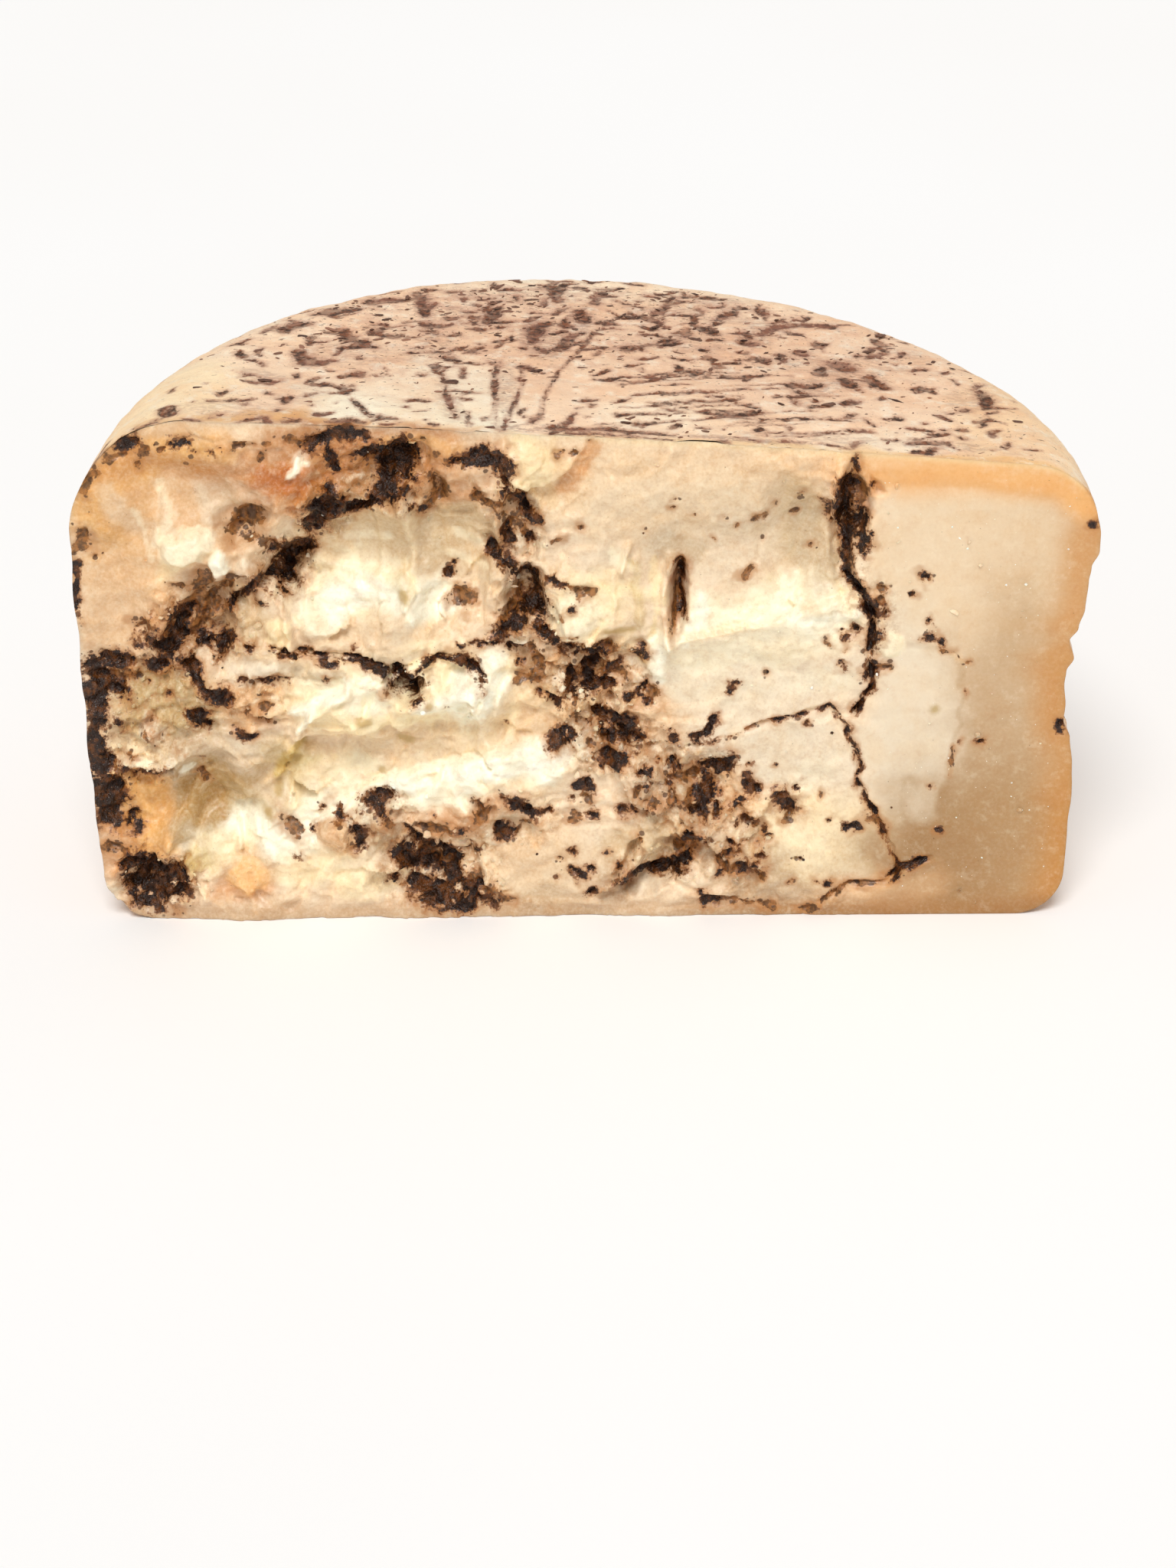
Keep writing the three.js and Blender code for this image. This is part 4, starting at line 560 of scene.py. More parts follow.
def path_distance(x, z, path):
    """Distance to a path, positive on its left side."""
    nearest = np.full(x.shape, 1e9)
    sign = np.ones(x.shape)
    for (ax, az), (bx, bz) in zip(path, path[1:]):
        dx = bx - ax
        dz = bz - az
        t = np.clip(((x - ax) * dx + (z - az) * dz) / (dx * dx + dz * dz), 0, 1)
        d = np.hypot(x - ax - t * dx, z - az - t * dz)
        side = np.where(dx * (z - az) - dz * (x - ax) >= 0, 1.0, -1.0)
        sign = np.where(d < nearest, side, sign)
        nearest = np.minimum(d, nearest)
    return sign * nearest


def stroke_field(x, z, strokes, reach=5.0):
    """How deep a point lies inside the nearest stroke, in parts of its width; negative outside, to -reach."""
    field = np.full(x.shape, -reach)
    for stroke in strokes:
        points = stroke if len(stroke) > 1 else [stroke[0], stroke[0]]
        for (ax, az, ar), (bx, bz, br) in zip(points, points[1:]):
            pad = max(ar, br) + reach * (STROKE_EDGE + STROKE_SHARE * max(ar, br))
            near = (x > min(ax, bx) - pad) & (x < max(ax, bx) + pad)
            near &= (z > min(az, bz) - pad) & (z < max(az, bz) + pad)
            if not near.any():
                continue
            px = x[near]
            pz = z[near]
            dx = bx - ax
            dz = bz - az
            t = np.clip(((px - ax) * dx + (pz - az) * dz) / max(dx * dx + dz * dz, 1e-9), 0, 1)
            radius = ar + (br - ar) * t
            inside = radius - np.hypot(px - ax - t * dx, pz - az - t * dz)
            field[near] = np.maximum(field[near], inside / (STROKE_EDGE + STROKE_SHARE * radius))
    return field


def crumble(x, z):
    amount = np.zeros(x.shape)
    for cx, cz, hx, hz, strength in CRUMBLY:
        amount = np.maximum(amount, strength * ease(1.5 * dish(x, z, cx, cz, hx, hz, 0)))
    return amount


def broken_share(x):
    return 1 - ease((x - SLICED_FROM) / (SLICED_TO - SLICED_FROM))


def smooth_break(x, z):
    waxy = np.zeros(x.shape)
    for cx, cz, hx, hz in WAXY:
        waxy = np.maximum(waxy, ease(1.5 * dish(x, z, cx, cz, hx, hz, 0)))
    return waxy


def solid_relief(x, z):
    """The relief of the solid, its hollows and lumps broken up: how far the face stands out from the cut plane."""
    out = np.zeros(x.shape)
    _, _, kind, tilt = chips(x + 3 * grain(x / 9, z / 9, 45), z + 3 * grain(x / 9, z / 9, 46), 13, 47)
    calm = 1 - 0.75 * smooth_break(x, z)
    calm *= ease((np.hypot((x - 23.5) / 6, (z - 92) / 14) - 0.9) / 0.6)
    wx = x + calm * (2.6 * grain(x / 12, z / 12, 43) + 1.2 * grain(x / 4, z / 4, 44) + 5 * (kind - 0.5))
    wz = z + calm * (2.6 * grain(x / 12, z / 12, 48) + 1.2 * grain(x / 4, z / 4, 49) + 4 * tilt)
    for cx, cz, hx, hz, turn, depth in HOLLOWS:
        out -= depth * dish(wx, wz, cx, cz, hx, hz, turn)
    for cx, cz, hx, hz, turn, height in LUMPS:
        out += height * dish(wx, wz, cx, cz, hx, hz, turn)
    for path, side, height, reach in LEDGES:
        d = path_distance(x, z, path) * side
        fall = (1 - d / reach) * (1 - 0.8 * ease((x - 82) / 14))
        out += np.where((d >= 0) & (d <= reach), height * fall * fall, 0)
    for path, width, depth in CRACKS:
        off = np.abs(path_distance(x + 0.6 * grain(x / 2, z / 2, 42), z, path))
        out -= 0.6 * depth * np.maximum(0, 1 - 3.6 * off / width)
    crags = grain(x / CRAG_SIZE, z / CRAG_SIZE) + 0.5 * grain(2 * x / CRAG_SIZE, 2 * z / CRAG_SIZE)
    return out + CRAG_HEIGHT * broken_share(x) * crags


def chunk_edge(x, z, cx, cz, hx, hz, turn):
    """1 in the middle of a ragged chunk, 0 on its edge."""
    wx = x + 1.1 * grain(x / 2.6, z / 2.6, 61)
    wz = z + 0.9 * grain(x / 2.2, z / 2.2, 64)
    return 1 - np.sqrt(ellipse(wx, wz, cx, cz, hx, hz, turn))


def nodules(x, z):
    """Distance from the crevices between lumps of crumbly paste, 0 in the crevices."""
    wx = x + 0.8 * grain(x / 2, z / 2, 65)
    near, second, _, _ = chips(wx, z + 0.8 * grain(x / 2, z / 2, 66), 4.4, 21)
    return second - near


def fine_relief(x, z, black, brown):
    """What the paste's own texture adds to the solid's relief."""
    rough = crumble(x, z)
    torn = broken_share(x)
    waxy = smooth_break(x, z)
    lively = torn * (0.36 + 0.8 * rough) * (1 - 0.75 * waxy * (1 - rough))
    wx = x + 4 * grain(x / 11, z / 11, 31) + 1.5 * grain(x / 4, z / 4, 33)
    wz = z + 4 * grain(x / 11, z / 11, 32) + 1.5 * grain(x / 4, z / 4, 34)
    near, _, kind, tilt = chips(wx, wz, 15, 1)
    near2, _, kind2, tilt2 = chips(wx, wz, 6, 5)
    near3, _, kind3, tilt3 = chips(x + 0.6 * grain(x / 1.7, z / 1.7, 35), z, 2.4, 9)
    out = lively * (3.0 * (near * near - 0.35) + 2.2 * tilt)
    out += lively * (1.5 * (near2 * near2 - 0.35) + 1.6 * tilt2 + 0.7 * (kind2 - 0.5))
    out += torn * (1 - 0.4 * waxy) * (1 - 0.6 * rough) * (0.9 * grain(wx / 13, wz / 10, 37) + 0.45 * grain(wx / 6, wz / 4.5, 38))
    out += torn * (1 - 0.7 * rough) * (1 - 0.7 * waxy) * 0.2 * grain(x / 5 + 0.3 * z, z / 1.7, 39)
    out += rough * torn * (0.7 * (kind3 - 0.5) + 0.7 * tilt3)
    steps = z / 3.4 + 0.8 * grain(x / 8, z / 8, 36)
    out += torn * 0.35 * (1 - 0.75 * waxy) * (steps - np.floor(steps) - 0.5)
    plates = (0.9 * z - 0.35 * x) / 13 + 1.1 * grain(x / 16, z / 13, 55) + 0.16 * grain(x / 4, z / 4, 56)
    rise = plates - np.floor(plates)
    out += torn * 1.3 * (1 - 0.75 * waxy) * (ease(rise / 0.88) - ease((rise - 0.9) / 0.1) - 0.4)
    flakes = (0.8 * x + 0.5 * z) / 17 + 1.2 * grain(x / 14, z / 18, 57) + 0.16 * grain(x / 3.4, z / 3.4, 58)
    rise = flakes - np.floor(flakes)
    out += torn * 0.8 * (1 - 0.75 * waxy) * (ease(rise / 0.9) - ease((rise - 0.92) / 0.08) - 0.4)
    out += torn * 0.2 * layers(x, z, 2.6, 2, 41)
    out += (1 - torn) * 0.05 * layers(x / 5, z, 1.6, 2, 51)
    for path, width, height in FINS:
        d = 1 - 2 * np.abs(path_distance(x + 0.5 * grain(x / 2, z / 2, 60), z, path)) / width
        out += 1.5 * height * ease(np.clip(d, 0, 1))
    for path, side, height, reach in STEPS:
        d = side * path_distance(x + 0.9 * grain(x / 3, z / 3, 62), z + 0.7 * grain(x / 2.4, z / 2.4, 63), path)
        fall = 1 - np.clip(d / reach, 0, 1)
        out += height * fall * fall * ease((d + 0.7) / 1.0)
    for cx, cz, hx, hz, turn, height, _ in CHUNKS:
        out += 1.2 * height * ease(2.2 * chunk_edge(x, z, cx, cz, hx, hz, turn))
    out += 1.3 * rough * torn * (ease(1.9 * nodules(x, z)) - 0.5)
    dark = ease((np.maximum(black, 0.8 * brown) + 0.4) / 1.4)
    out -= 1.2 * dark
    out += 1.0 * dark * layers(x, z, 2.1, 2, 71)
    return out


# ------------------------------------------------------------------ forms of the wheel
def shoulder_radius(angle):
    right = np.maximum(0, np.cos(angle)) ** 2
    left = np.maximum(0, -np.cos(angle)) ** 2
    return SHOULDER_BACK + (SHOULDER_RIGHT - SHOULDER_BACK) * right + (SHOULDER_LEFT - SHOULDER_BACK) * left


def wall_point(t, angle):
    shoulder = shoulder_radius(angle)
    foot_arc = FOOT_RADIUS * np.pi / 4
    shoulder_arc = shoulder * np.pi / 4
    straight = HEIGHT - FOOT_RADIUS - shoulder
    s = (t + 1) / 2 * (foot_arc + straight + shoulder_arc)
    bend = np.pi / 4 - s / FOOT_RADIUS
    r = np.where(s < foot_arc, RADIUS - FOOT_RADIUS * (1 - np.cos(bend)), RADIUS)
    z = np.where(s < foot_arc, FOOT_RADIUS * (1 - np.sin(bend)), FOOT_RADIUS + s - foot_arc)
    high = s >= foot_arc + straight
    bend = (s - foot_arc - straight) / shoulder
    r = np.where(high, RADIUS - shoulder * (1 - np.cos(bend)), r)
    z = np.where(high, HEIGHT - shoulder * (1 - np.sin(bend)), z)
    return r, z


def cap_point(t, corner):
    flat = RADIUS - corner
    s = t * (flat + corner * np.pi / 4)
    bend = (s - flat) / corner
    r = np.where(s < flat, s, flat + corner * np.sin(bend))
    drop = np.where(s < flat, 0, corner * (1 - np.cos(bend)))
    return r, drop


def rind_shape(z, angle):
    right = np.maximum(0, np.cos(angle)) ** 1.5
    heights, offsets = np.array(RIGHT_SIDE).T
    k = np.clip(np.searchsorted(heights, z, side="right") - 1, 0, len(heights) - 2)
    t = ease((z - heights[k]) / (heights[k + 1] - heights[k]))
    worn = offsets[k] + (offsets[k + 1] - offsets[k]) * t
    taper = ease((HEIGHT / 3 - z) / (HEIGHT / 3))
    in_wall = np.sin(np.pi * np.clip(z / HEIGHT, 0, 1))
    ripple = np.sin(2 * np.pi * z / RIND_RIPPLE_PITCH + 2 * np.sin(3 * angle)) * in_wall
    return right * worn + (1 - right) * (RIND_RIPPLE * ripple - FOOT_TAPER * taper)


def shrink(x, y, z):
    widen = 1 + rind_shape(z, np.arctan2(y, x)) / RADIUS
    return x * widen, y * widen


def plan(u, v):
    ux = u * np.sqrt(1 - v * v / 2)
    uy = v * np.sqrt(1 - u * u / 2)
    return np.arctan2(uy, ux), np.hypot(ux, uy)


def bearing_corners():
    corners = []
    for u, v in ((-15 / 19, 1 / 12), (15 / 19, 1 / 12), (8 / 19, 9 / 12), (-8 / 19, 9 / 12)):
        angle, span = plan(np.array(u), np.array(v))
        r, drop = cap_point(span, FOOT_RADIUS)
        corners.append(shrink(r * np.cos(angle), r * np.sin(angle), drop))
    return corners


BEARING = bearing_corners()


def settle(x, y, z):
    px, py = shrink(x, y, z)
    spread = np.minimum(1, (px * px + py * py) / RADIUS ** 2)
    rise = TOP_SLOPE_X * px + TOP_SLOPE_Y * py + TOP_DOME * (1 - spread)
    outside = np.zeros(np.shape(px))
    for (ax, ay), (bx, by) in zip(BEARING, BEARING[1:] + BEARING[:1]):
        across = ((px - ax) * (by - ay) - (py - ay) * (bx - ax)) / np.hypot(bx - ax, by - ay)
        outside = np.maximum(outside, across)
    curl = FOOT_CURL * outside * np.maximum(0, 1 - z / FOOT_CURL_HEIGHT)
    return np.stack([px, py, z + z / HEIGHT * rise + curl], -1)


def skin_point(u, v, w):
    """Points of the rind; u, v and w are arrays of one shape, and w is all -1, all 1 or inside."""
    u, v, w = np.broadcast_arrays(np.asarray(u, float), np.asarray(v, float), np.asarray(w, float))
    angle, span = plan(u, v)
    cap_corner = np.where(w > 0, shoulder_radius(angle), FOOT_RADIUS)
    cr, drop = cap_point(span, cap_corner)
    cz = np.where(w > 0, HEIGHT - drop, drop)
    wr, wz = wall_point(w, angle)
    cap = np.abs(w) == 1
    r = np.where(cap, cr, wr)
    z = np.where(cap, cz, wz)
    return settle(r * np.cos(angle), r * np.sin(angle), z)


def cut_point(u, w):
    s = ((u + 1) / 2)[..., None]
    t = ((w + 1) / 2)[..., None]
    left = skin_point(-1, 0, w)
    right = skin_point(1, 0, w)
    low = skin_point(u, 0, -1)
    high = skin_point(u, 0, 1)
    a, b, c, d = (skin_point(p, 0, q) for p, q in ((-1, -1), (1, -1), (-1, 1), (1, 1)))
    edges = (1 - s) * left + s * right + (1 - t) * low + t * high
    return edges - (1 - t) * ((1 - s) * a + s * b) - t * ((1 - s) * c + s * d)


RIM_LINE = skin_point(np.linspace(-1, 1, 241), 0, 1)


def rim_keep(x, z):
    top = np.interp(x, RIM_LINE[:, 0], RIM_LINE[:, 2])
    rim = np.minimum(np.minimum(top - z, z), RADIUS - np.abs(x))
    return RIM_KEEP + (1 - RIM_KEEP) * ease(rim / RIM_FADE)


def face_marks(x, z):
    wobble_x = 0.7 * grain(x / 3.1, z / 3.1, 81)
    wobble_z = 0.7 * grain(x / 3.1, z / 3.1, 82)
    black = stroke_field(x + wobble_x, z + wobble_z, BLACK)
    brown = stroke_field(x + wobble_x, z + wobble_z, BROWN)
    gaps = crumble(x, z) * broken_share(x) * ease(1 - nodules(x, z) / 0.3)
    uneven = 1.3 * grain(x / 8, z / 8, 83) + 0.7 * grain(x / 3, z / 3, 84) - 0.5
    gaps = 5.0 * gaps - 5.0 + uneven * ease(2 * gaps)
    return black, np.maximum(brown, np.clip(gaps, -5, 0.5))


def face_depth(x, z, black, brown):
    """y of the cut face at (x, z)."""
    return -rim_keep(x, z) * (solid_relief(x, z) + fine_relief(x, z, black, brown))


# ------------------------------------------------------------------ Blender helpers
def linear(colour):
    c = np.array([int(colour[i:i + 2], 16) / 255 for i in (1, 3, 5)])
    return np.where(c <= 0.04045, c / 12.92, ((c + 0.055) / 1.055) ** 2.4)


def rgba(colour):
    return (*linear(colour), 1.0)


def make_mesh(name, points, faces, material):
    mesh = bpy.data.meshes.new(name)
    mesh.from_pydata((points * MM).tolist(), [], faces.tolist() if hasattr(faces, "tolist") else faces)
    mesh.polygons.foreach_set("use_smooth", np.ones(len(mesh.polygons), bool))
    mesh.materials.append(material)
    mesh.update()
    piece = bpy.data.objects.new(name, mesh)
    bpy.context.scene.collection.objects.link(piece)
    return piece


def add_value(piece, name, values):
    layer = piece.data.attributes.new(name, "FLOAT", "POINT")
    layer.data.foreach_set("value", np.asarray(values, np.float32).ravel())


def add_colour(piece, name, values):
    layer = piece.data.attributes.new(name, "FLOAT_COLOR", "POINT")
    full = np.ones((len(values), 4), np.float32)
    full[:, :3] = values
    layer.data.foreach_set("color", full.ravel())


class Nodes:
    """Short ways to add shader nodes to one material."""

    def __init__(self, name):
        self.material = bpy.data.materials.new(name)
        self.material.use_nodes = True
        self.tree = self.material.node_tree
        self.tree.nodes.clear()
        self.output = self.tree.nodes.new("ShaderNodeOutputMaterial")
        self.shader = self.tree.nodes.new("ShaderNodeBsdfPrincipled")
        self.tree.links.new(self.shader.outputs[0], self.output.inputs[0])
        self.place = self.tree.nodes.new("ShaderNodeTexCoord").outputs["Object"]

    def put(self, value, socket):
        if isinstance(value, bpy.types.NodeSocket):
            self.tree.links.new(value, socket)
        else:
            socket.default_value = value

    def attribute(self, name, output="Fac"):
        node = self.tree.nodes.new("ShaderNodeAttribute")
        node.attribute_name = name
        return node.outputs[output]

    def noise(self, size, detail=2.0, rough=0.5, stretch=(1, 1, 1), shift=0.0):
        mapping = self.tree.nodes.new("ShaderNodeMapping")
        mapping.inputs["Scale"].default_value = stretch
        mapping.inputs["Location"].default_value = (shift, shift * 0.7, shift * 1.3)
        self.put(self.place, mapping.inputs["Vector"])
        node = self.tree.nodes.new("ShaderNodeTexNoise")
        node.inputs["Scale"].default_value = 1 / (size * MM)
        node.inputs["Detail"].default_value = detail
        node.inputs["Roughness"].default_value = rough
        self.put(mapping.outputs[0], node.inputs["Vector"])
        return node.outputs[0]

    def cells(self, size, feature="F1", stretch=(1, 1, 1), output="Distance"):
        mapping = self.tree.nodes.new("ShaderNodeMapping")
        mapping.inputs["Scale"].default_value = stretch
        self.put(self.place, mapping.inputs["Vector"])
        node = self.tree.nodes.new("ShaderNodeTexVoronoi")
        node.feature = feature
        node.inputs["Scale"].default_value = 1 / (size * MM)
        self.put(mapping.outputs[0], node.inputs["Vector"])
        return node.outputs[output]

    def math(self, operation, a, b=0.0, clamp=False):
        node = self.tree.nodes.new("ShaderNodeMath")
        node.operation = operation
        node.use_clamp = clamp
        self.put(a, node.inputs[0])
        self.put(b, node.inputs[1])
        return node.outputs[0]

    def ramp(self, value, low, high, out_low=0.0, out_high=1.0):
        node = self.tree.nodes.new("ShaderNodeMapRange")
        node.interpolation_type = "SMOOTHSTEP"
        self.put(value, node.inputs["Value"])
        node.inputs["From Min"].default_value = low
        node.inputs["From Max"].default_value = high
        node.inputs["To Min"].default_value = out_low
        node.inputs["To Max"].default_value = out_high
        return node.outputs[0]

    def mix(self, factor, a, b, blend="MIX"):
        node = self.tree.nodes.new("ShaderNodeMix")
        node.data_type = "RGBA"
        node.blend_type = blend
        self.put(factor, node.inputs[0])
        self.put(a, node.inputs[6])
        self.put(b, node.inputs[7])
        return node.outputs[2]

    def centred(self, size, amount, shift, detail=2.0, rough=0.55):
        """Noise around zero, with about amount / 8 as its usual size."""
        return self.math("MULTIPLY", self.math("SUBTRACT", self.noise(size, detail, rough, shift=shift), 0.5), amount)

    def veins(self, colour):
        """Dark mould with ragged edges, brown fringes and scattered dots, and olive marks that are partly painted
        shadow, over the paste's colour.
        """
        cloud = self.centred(5.5, 5.0, 1.0)
        patch = self.centred(2.4, 4.0, 2.0, 3.0, 0.6)
        grit = self.centred(0.9, 2.0, 3.0)
        fray = self.math("ADD", self.math("ADD", cloud, patch), grit)
        black = self.math("ADD", self.attribute("black"), fray)
        brown = self.math("ADD", self.attribute("brown"), fray)
        either = self.math("MAXIMUM", self.attribute("black"), self.attribute("brown"))
        # The olive marks: painted shadow in pits and beside torn edges, olive smears elsewhere.
        olive = self.math("ADD", self.attribute("olive"), self.math("MULTIPLY", fray, 0.5))
        colour = self.mix(self.ramp(olive, -1.9, 0.4, 0.0, 0.66), colour, rgba("#b08c40"))
        dirt = self.math("MULTIPLY", self.attribute("rough"), self.ramp(self.noise(3.2, 4, 0.7, shift=11.0), 0.46, 0.64))
        colour = self.mix(self.math("MULTIPLY", dirt, 0.6), colour, rgba("#a87442"))
        stain = self.math("ADD", either, self.math("MULTIPLY", cloud, 2.4))
        colour = self.mix(self.ramp(stain, -2.9, 0.8, 0.0, 0.62), colour, rgba("#b0733a"))
        dots = self.cells(2.3)
        pick = self.cells(2.3, output="Color")
        here = self.math("ADD", either, self.math("MULTIPLY", pick, 4.0))
        size = self.math("MULTIPLY", self.ramp(here, 0.2, 2.6), 0.34)
        spot = self.math("SUBTRACT", size, self.math("ADD", dots, self.math("MULTIPLY", grit, 0.1)))
        colour = self.mix(self.ramp(spot, -0.07, 0.05, 0.0, 0.85), colour, rgba("#54341b"))
        mossy = self.mix(self.ramp(self.noise(1.8, 3, 0.65, shift=6.0), 0.38, 0.62), rgba("#43280f"), rgba("#99632f"))
        colour = self.mix(self.ramp(brown, -0.32, 0.12, 0.0, 0.86), colour, mossy)
        fringe = self.math("ADD", black, self.math("MULTIPLY", grit, 1.2))
        colour = self.mix(self.ramp(fringe, -1.0, -0.1, 0.0, 0.8), colour, rgba("#7d481c"))
        pitch = self.ramp(self.noise(2.8, 4, 0.65, shift=4.0), 0.44, 0.66, 0.0, 0.75)
        pitch = self.mix(pitch, rgba("#261206"), rgba("#74431a"))
        return self.mix(self.ramp(black, -0.16, 0.1), colour, pitch), black

    def bump(self, height, distance, strength=1.0, normal=None):
        node = self.tree.nodes.new("ShaderNodeBump")
        node.inputs["Distance"].default_value = distance * MM
        self.put(strength, node.inputs["Strength"])
        self.put(height, node.inputs["Height"])
        if normal is not None:
            self.put(normal, node.inputs["Normal"])
        return node.outputs[0]


# ------------------------------------------------------------------ materials
def paste_material():
    n = Nodes("paste")
    colour = n.attribute("tone", "Color")
    veil = n.noise(9, 4, 0.6)
    colour = n.mix(n.ramp(veil, 0.42, 0.66, 0.0, 0.25), colour, n.mix(1.0, colour, rgba("#f7e2c2"), "MULTIPLY"))
    curd = n.noise(3.4, 4, 0.65, shift=13.0)
    lumpy = n.ramp(n.attribute("rough"), 0, 1, 0.12, 0.45)
    colour = n.mix(n.math("MULTIPLY", n.ramp(curd, 0.52, 0.7), lumpy), colour, rgba("#fff4d8"))
    dim = n.math("MULTIPLY", n.ramp(curd, 0.46, 0.3), lumpy)
    colour = n.mix(dim, colour, n.mix(1.0, colour, rgba("#dfb27c"), "MULTIPLY"))
    speck = n.noise(0.9, 2, 0.6, shift=3.0)
    torn = n.ramp(n.attribute("rough"), 0.0, 0.25, 0.35, 1.0)
    colour = n.mix(n.math("MULTIPLY", n.ramp(speck, 0.35, 0.75, 0.0, 0.16), torn), colour, rgba("#fff6dc"))
    colour = n.mix(n.math("MULTIPLY", n.ramp(speck, 0.5, 0.25, 0.0, 0.14), torn), colour, rgba("#b98d58"))

    colour, black = n.veins(colour)
    n.put(colour, n.shader.inputs["Base Color"])

    dark = n.ramp(black, -0.4, 0.4)
    rough = n.ramp(n.noise(2.2, 3, 0.6), 0.3, 0.7, 0.32, 0.56)
    n.put(n.math("SUBTRACT", rough, n.math("MULTIPLY", dark, 0.12)), n.shader.inputs["Roughness"])
    fine = n.bump(n.noise(0.8, 3, 0.6), 0.35, n.ramp(n.attribute("rough"), 0, 1, 0.14, 0.8))
    soft = n.bump(n.noise(3.0, 3, 0.55), 0.6, 0.35, fine)
    n.put(n.bump(n.noise(1.0, 2, 0.7, shift=5.0), 0.9, n.math("MULTIPLY", dark, 0.9), soft), n.shader.inputs["Normal"])
    n.shader.subsurface_method = "BURLEY"
    n.shader.inputs["Subsurface Weight"].default_value = 0.6
    n.shader.inputs["Subsurface Radius"].default_value = (1.0, 0.68, 0.4)
    n.shader.inputs["Subsurface Scale"].default_value = 0.0024
    n.shader.inputs["Specular IOR Level"].default_value = 0.42
    return n.material


def rind_material():
    n = Nodes("rind")
    colour = n.attribute("tone", "Color")
    busy = n.attribute("busy")
    cloud = n.noise(16, 4, 0.6)
    colour = n.mix(n.ramp(cloud, 0.42, 0.66, 0.0, 0.35), colour, n.mix(1.0, colour, rgba("#f4d6be"), "MULTIPLY"))
    veil = n.math("MULTIPLY", busy, n.ramp(n.noise(6, 4, 0.65, (1, 1.7, 1.7), 8.0), 0.44, 0.62))
    colour = n.mix(n.math("MULTIPLY", veil, 0.5), colour, rgba("#cd9c84"))
    pale = n.noise(5, 4, 0.65, shift=4.0)
    colour = n.mix(n.ramp(pale, 0.5, 0.7, 0.0, 0.6), colour, rgba("#fdeed6"))
    mottle = n.noise(1.6, 3, 0.7, (1, 1.6, 1.6), 2.0)
    colour = n.mix(n.ramp(mottle, 0.52, 0.74, 0.0, 0.28), colour, rgba("#cf9a76"))
    streaks = n.ramp(n.noise(2.6, 4, 0.7, (1, 2.2, 2.2), 6.0), 0.42, 0.58)
    smear = n.math("MULTIPLY", n.attribute("smear"), n.math("ADD", n.math("MULTIPLY", streaks, 0.8), 0.12))
    colour = n.mix(smear, colour, rgba("#93695a"))

    cloud = n.centred(4.5, 2.5, 1.0)
    ragged = n.centred(1.3, 2.5, 3.0, 3.0, 0.6)
    fray = n.math("ADD", cloud, ragged)
    dash = n.math("ADD", n.attribute("dash"), fray)
    colour = n.mix(n.ramp(dash, -2.0, 0.1, 0.0, 0.55), colour, rgba("#bb8a72"))
    ink = n.mix(n.ramp(n.noise(1.8, 3, 0.6), 0.42, 0.62), rgba("#301609"), rgba("#824c30"))
    ink = n.mix(n.ramp(n.noise(11, 3, 0.6, shift=14.0), 0.5, 0.62, 0.0, 0.5), ink, rgba("#986450"))
    worn = n.ramp(n.noise(3.6, 3, 0.65, shift=17.0), 0.36, 0.56, 0.5, 1.0)
    colour = n.mix(n.math("MULTIPLY", n.ramp(dash, -0.45, 0.4, 0.0, 0.94), worn), colour, ink)

    crumbs = n.math("SUBTRACT", n.noise(2.1, 2, 0.5, (1, 1.9, 1.9), 9.0), n.math("MULTIPLY", busy, 0.08))
    colour = n.mix(n.ramp(crumbs, 0.305, 0.26, 0.0, 0.7), colour, rgba("#74503f"))
    crumbs = n.math("SUBTRACT", n.noise(1.2, 2, 0.5, (1.7, 1, 1.7), 12.0), n.math("MULTIPLY", busy, 0.06))
    colour = n.mix(n.ramp(crumbs, 0.29, 0.25, 0.0, 0.5), colour, rgba("#7d5947"))

    colour, _ = n.veins(colour)
    n.put(colour, n.shader.inputs["Base Color"])
    n.put(n.ramp(mottle, 0.3, 0.7, 0.5, 0.72), n.shader.inputs["Roughness"])
    fine = n.bump(n.noise(0.9, 3, 0.65), 0.3, 0.45)
    cloth = n.bump(n.noise(3.4, 3, 0.6, shift=7.0), 0.6, 0.4, fine)
    n.put(n.bump(n.ramp(dash, -0.6, 0.5), -0.35, 0.8, cloth), n.shader.inputs["Normal"])
    n.shader.subsurface_method = "BURLEY"
    n.shader.inputs["Subsurface Weight"].default_value = 0.15
    n.shader.inputs["Subsurface Radius"].default_value = (1.0, 0.55, 0.3)
    n.shader.inputs["Subsurface Scale"].default_value = 0.0016
    n.shader.inputs["Specular IOR Level"].default_value = 0.28
    return n.material


def crumb_material(name, patch, patch_share, rough, soft):
    """Small grains in their own tones, with patches of a second colour."""
    n = Nodes(name)
    colour = n.attribute("tone", "Color")
    colour = n.mix(n.ramp(n.noise(0.8, 2, 0.6), 0.4, 0.7, 0.0, patch_share), colour, rgba(patch))
    n.put(colour, n.shader.inputs["Base Color"])
    n.put(n.ramp(n.noise(0.9, 2, 0.6), 0.3, 0.7, rough - 0.12, rough + 0.15), n.shader.inputs["Roughness"])
    n.put(n.bump(n.noise(0.4, 2, 0.6), 0.2, 0.6), n.shader.inputs["Normal"])
    n.shader.inputs["Specular IOR Level"].default_value = 0.35
    if soft > 0:
        n.shader.inputs["Subsurface Weight"].default_value = soft
        n.shader.inputs["Subsurface Scale"].default_value = 0.001
    return n.material


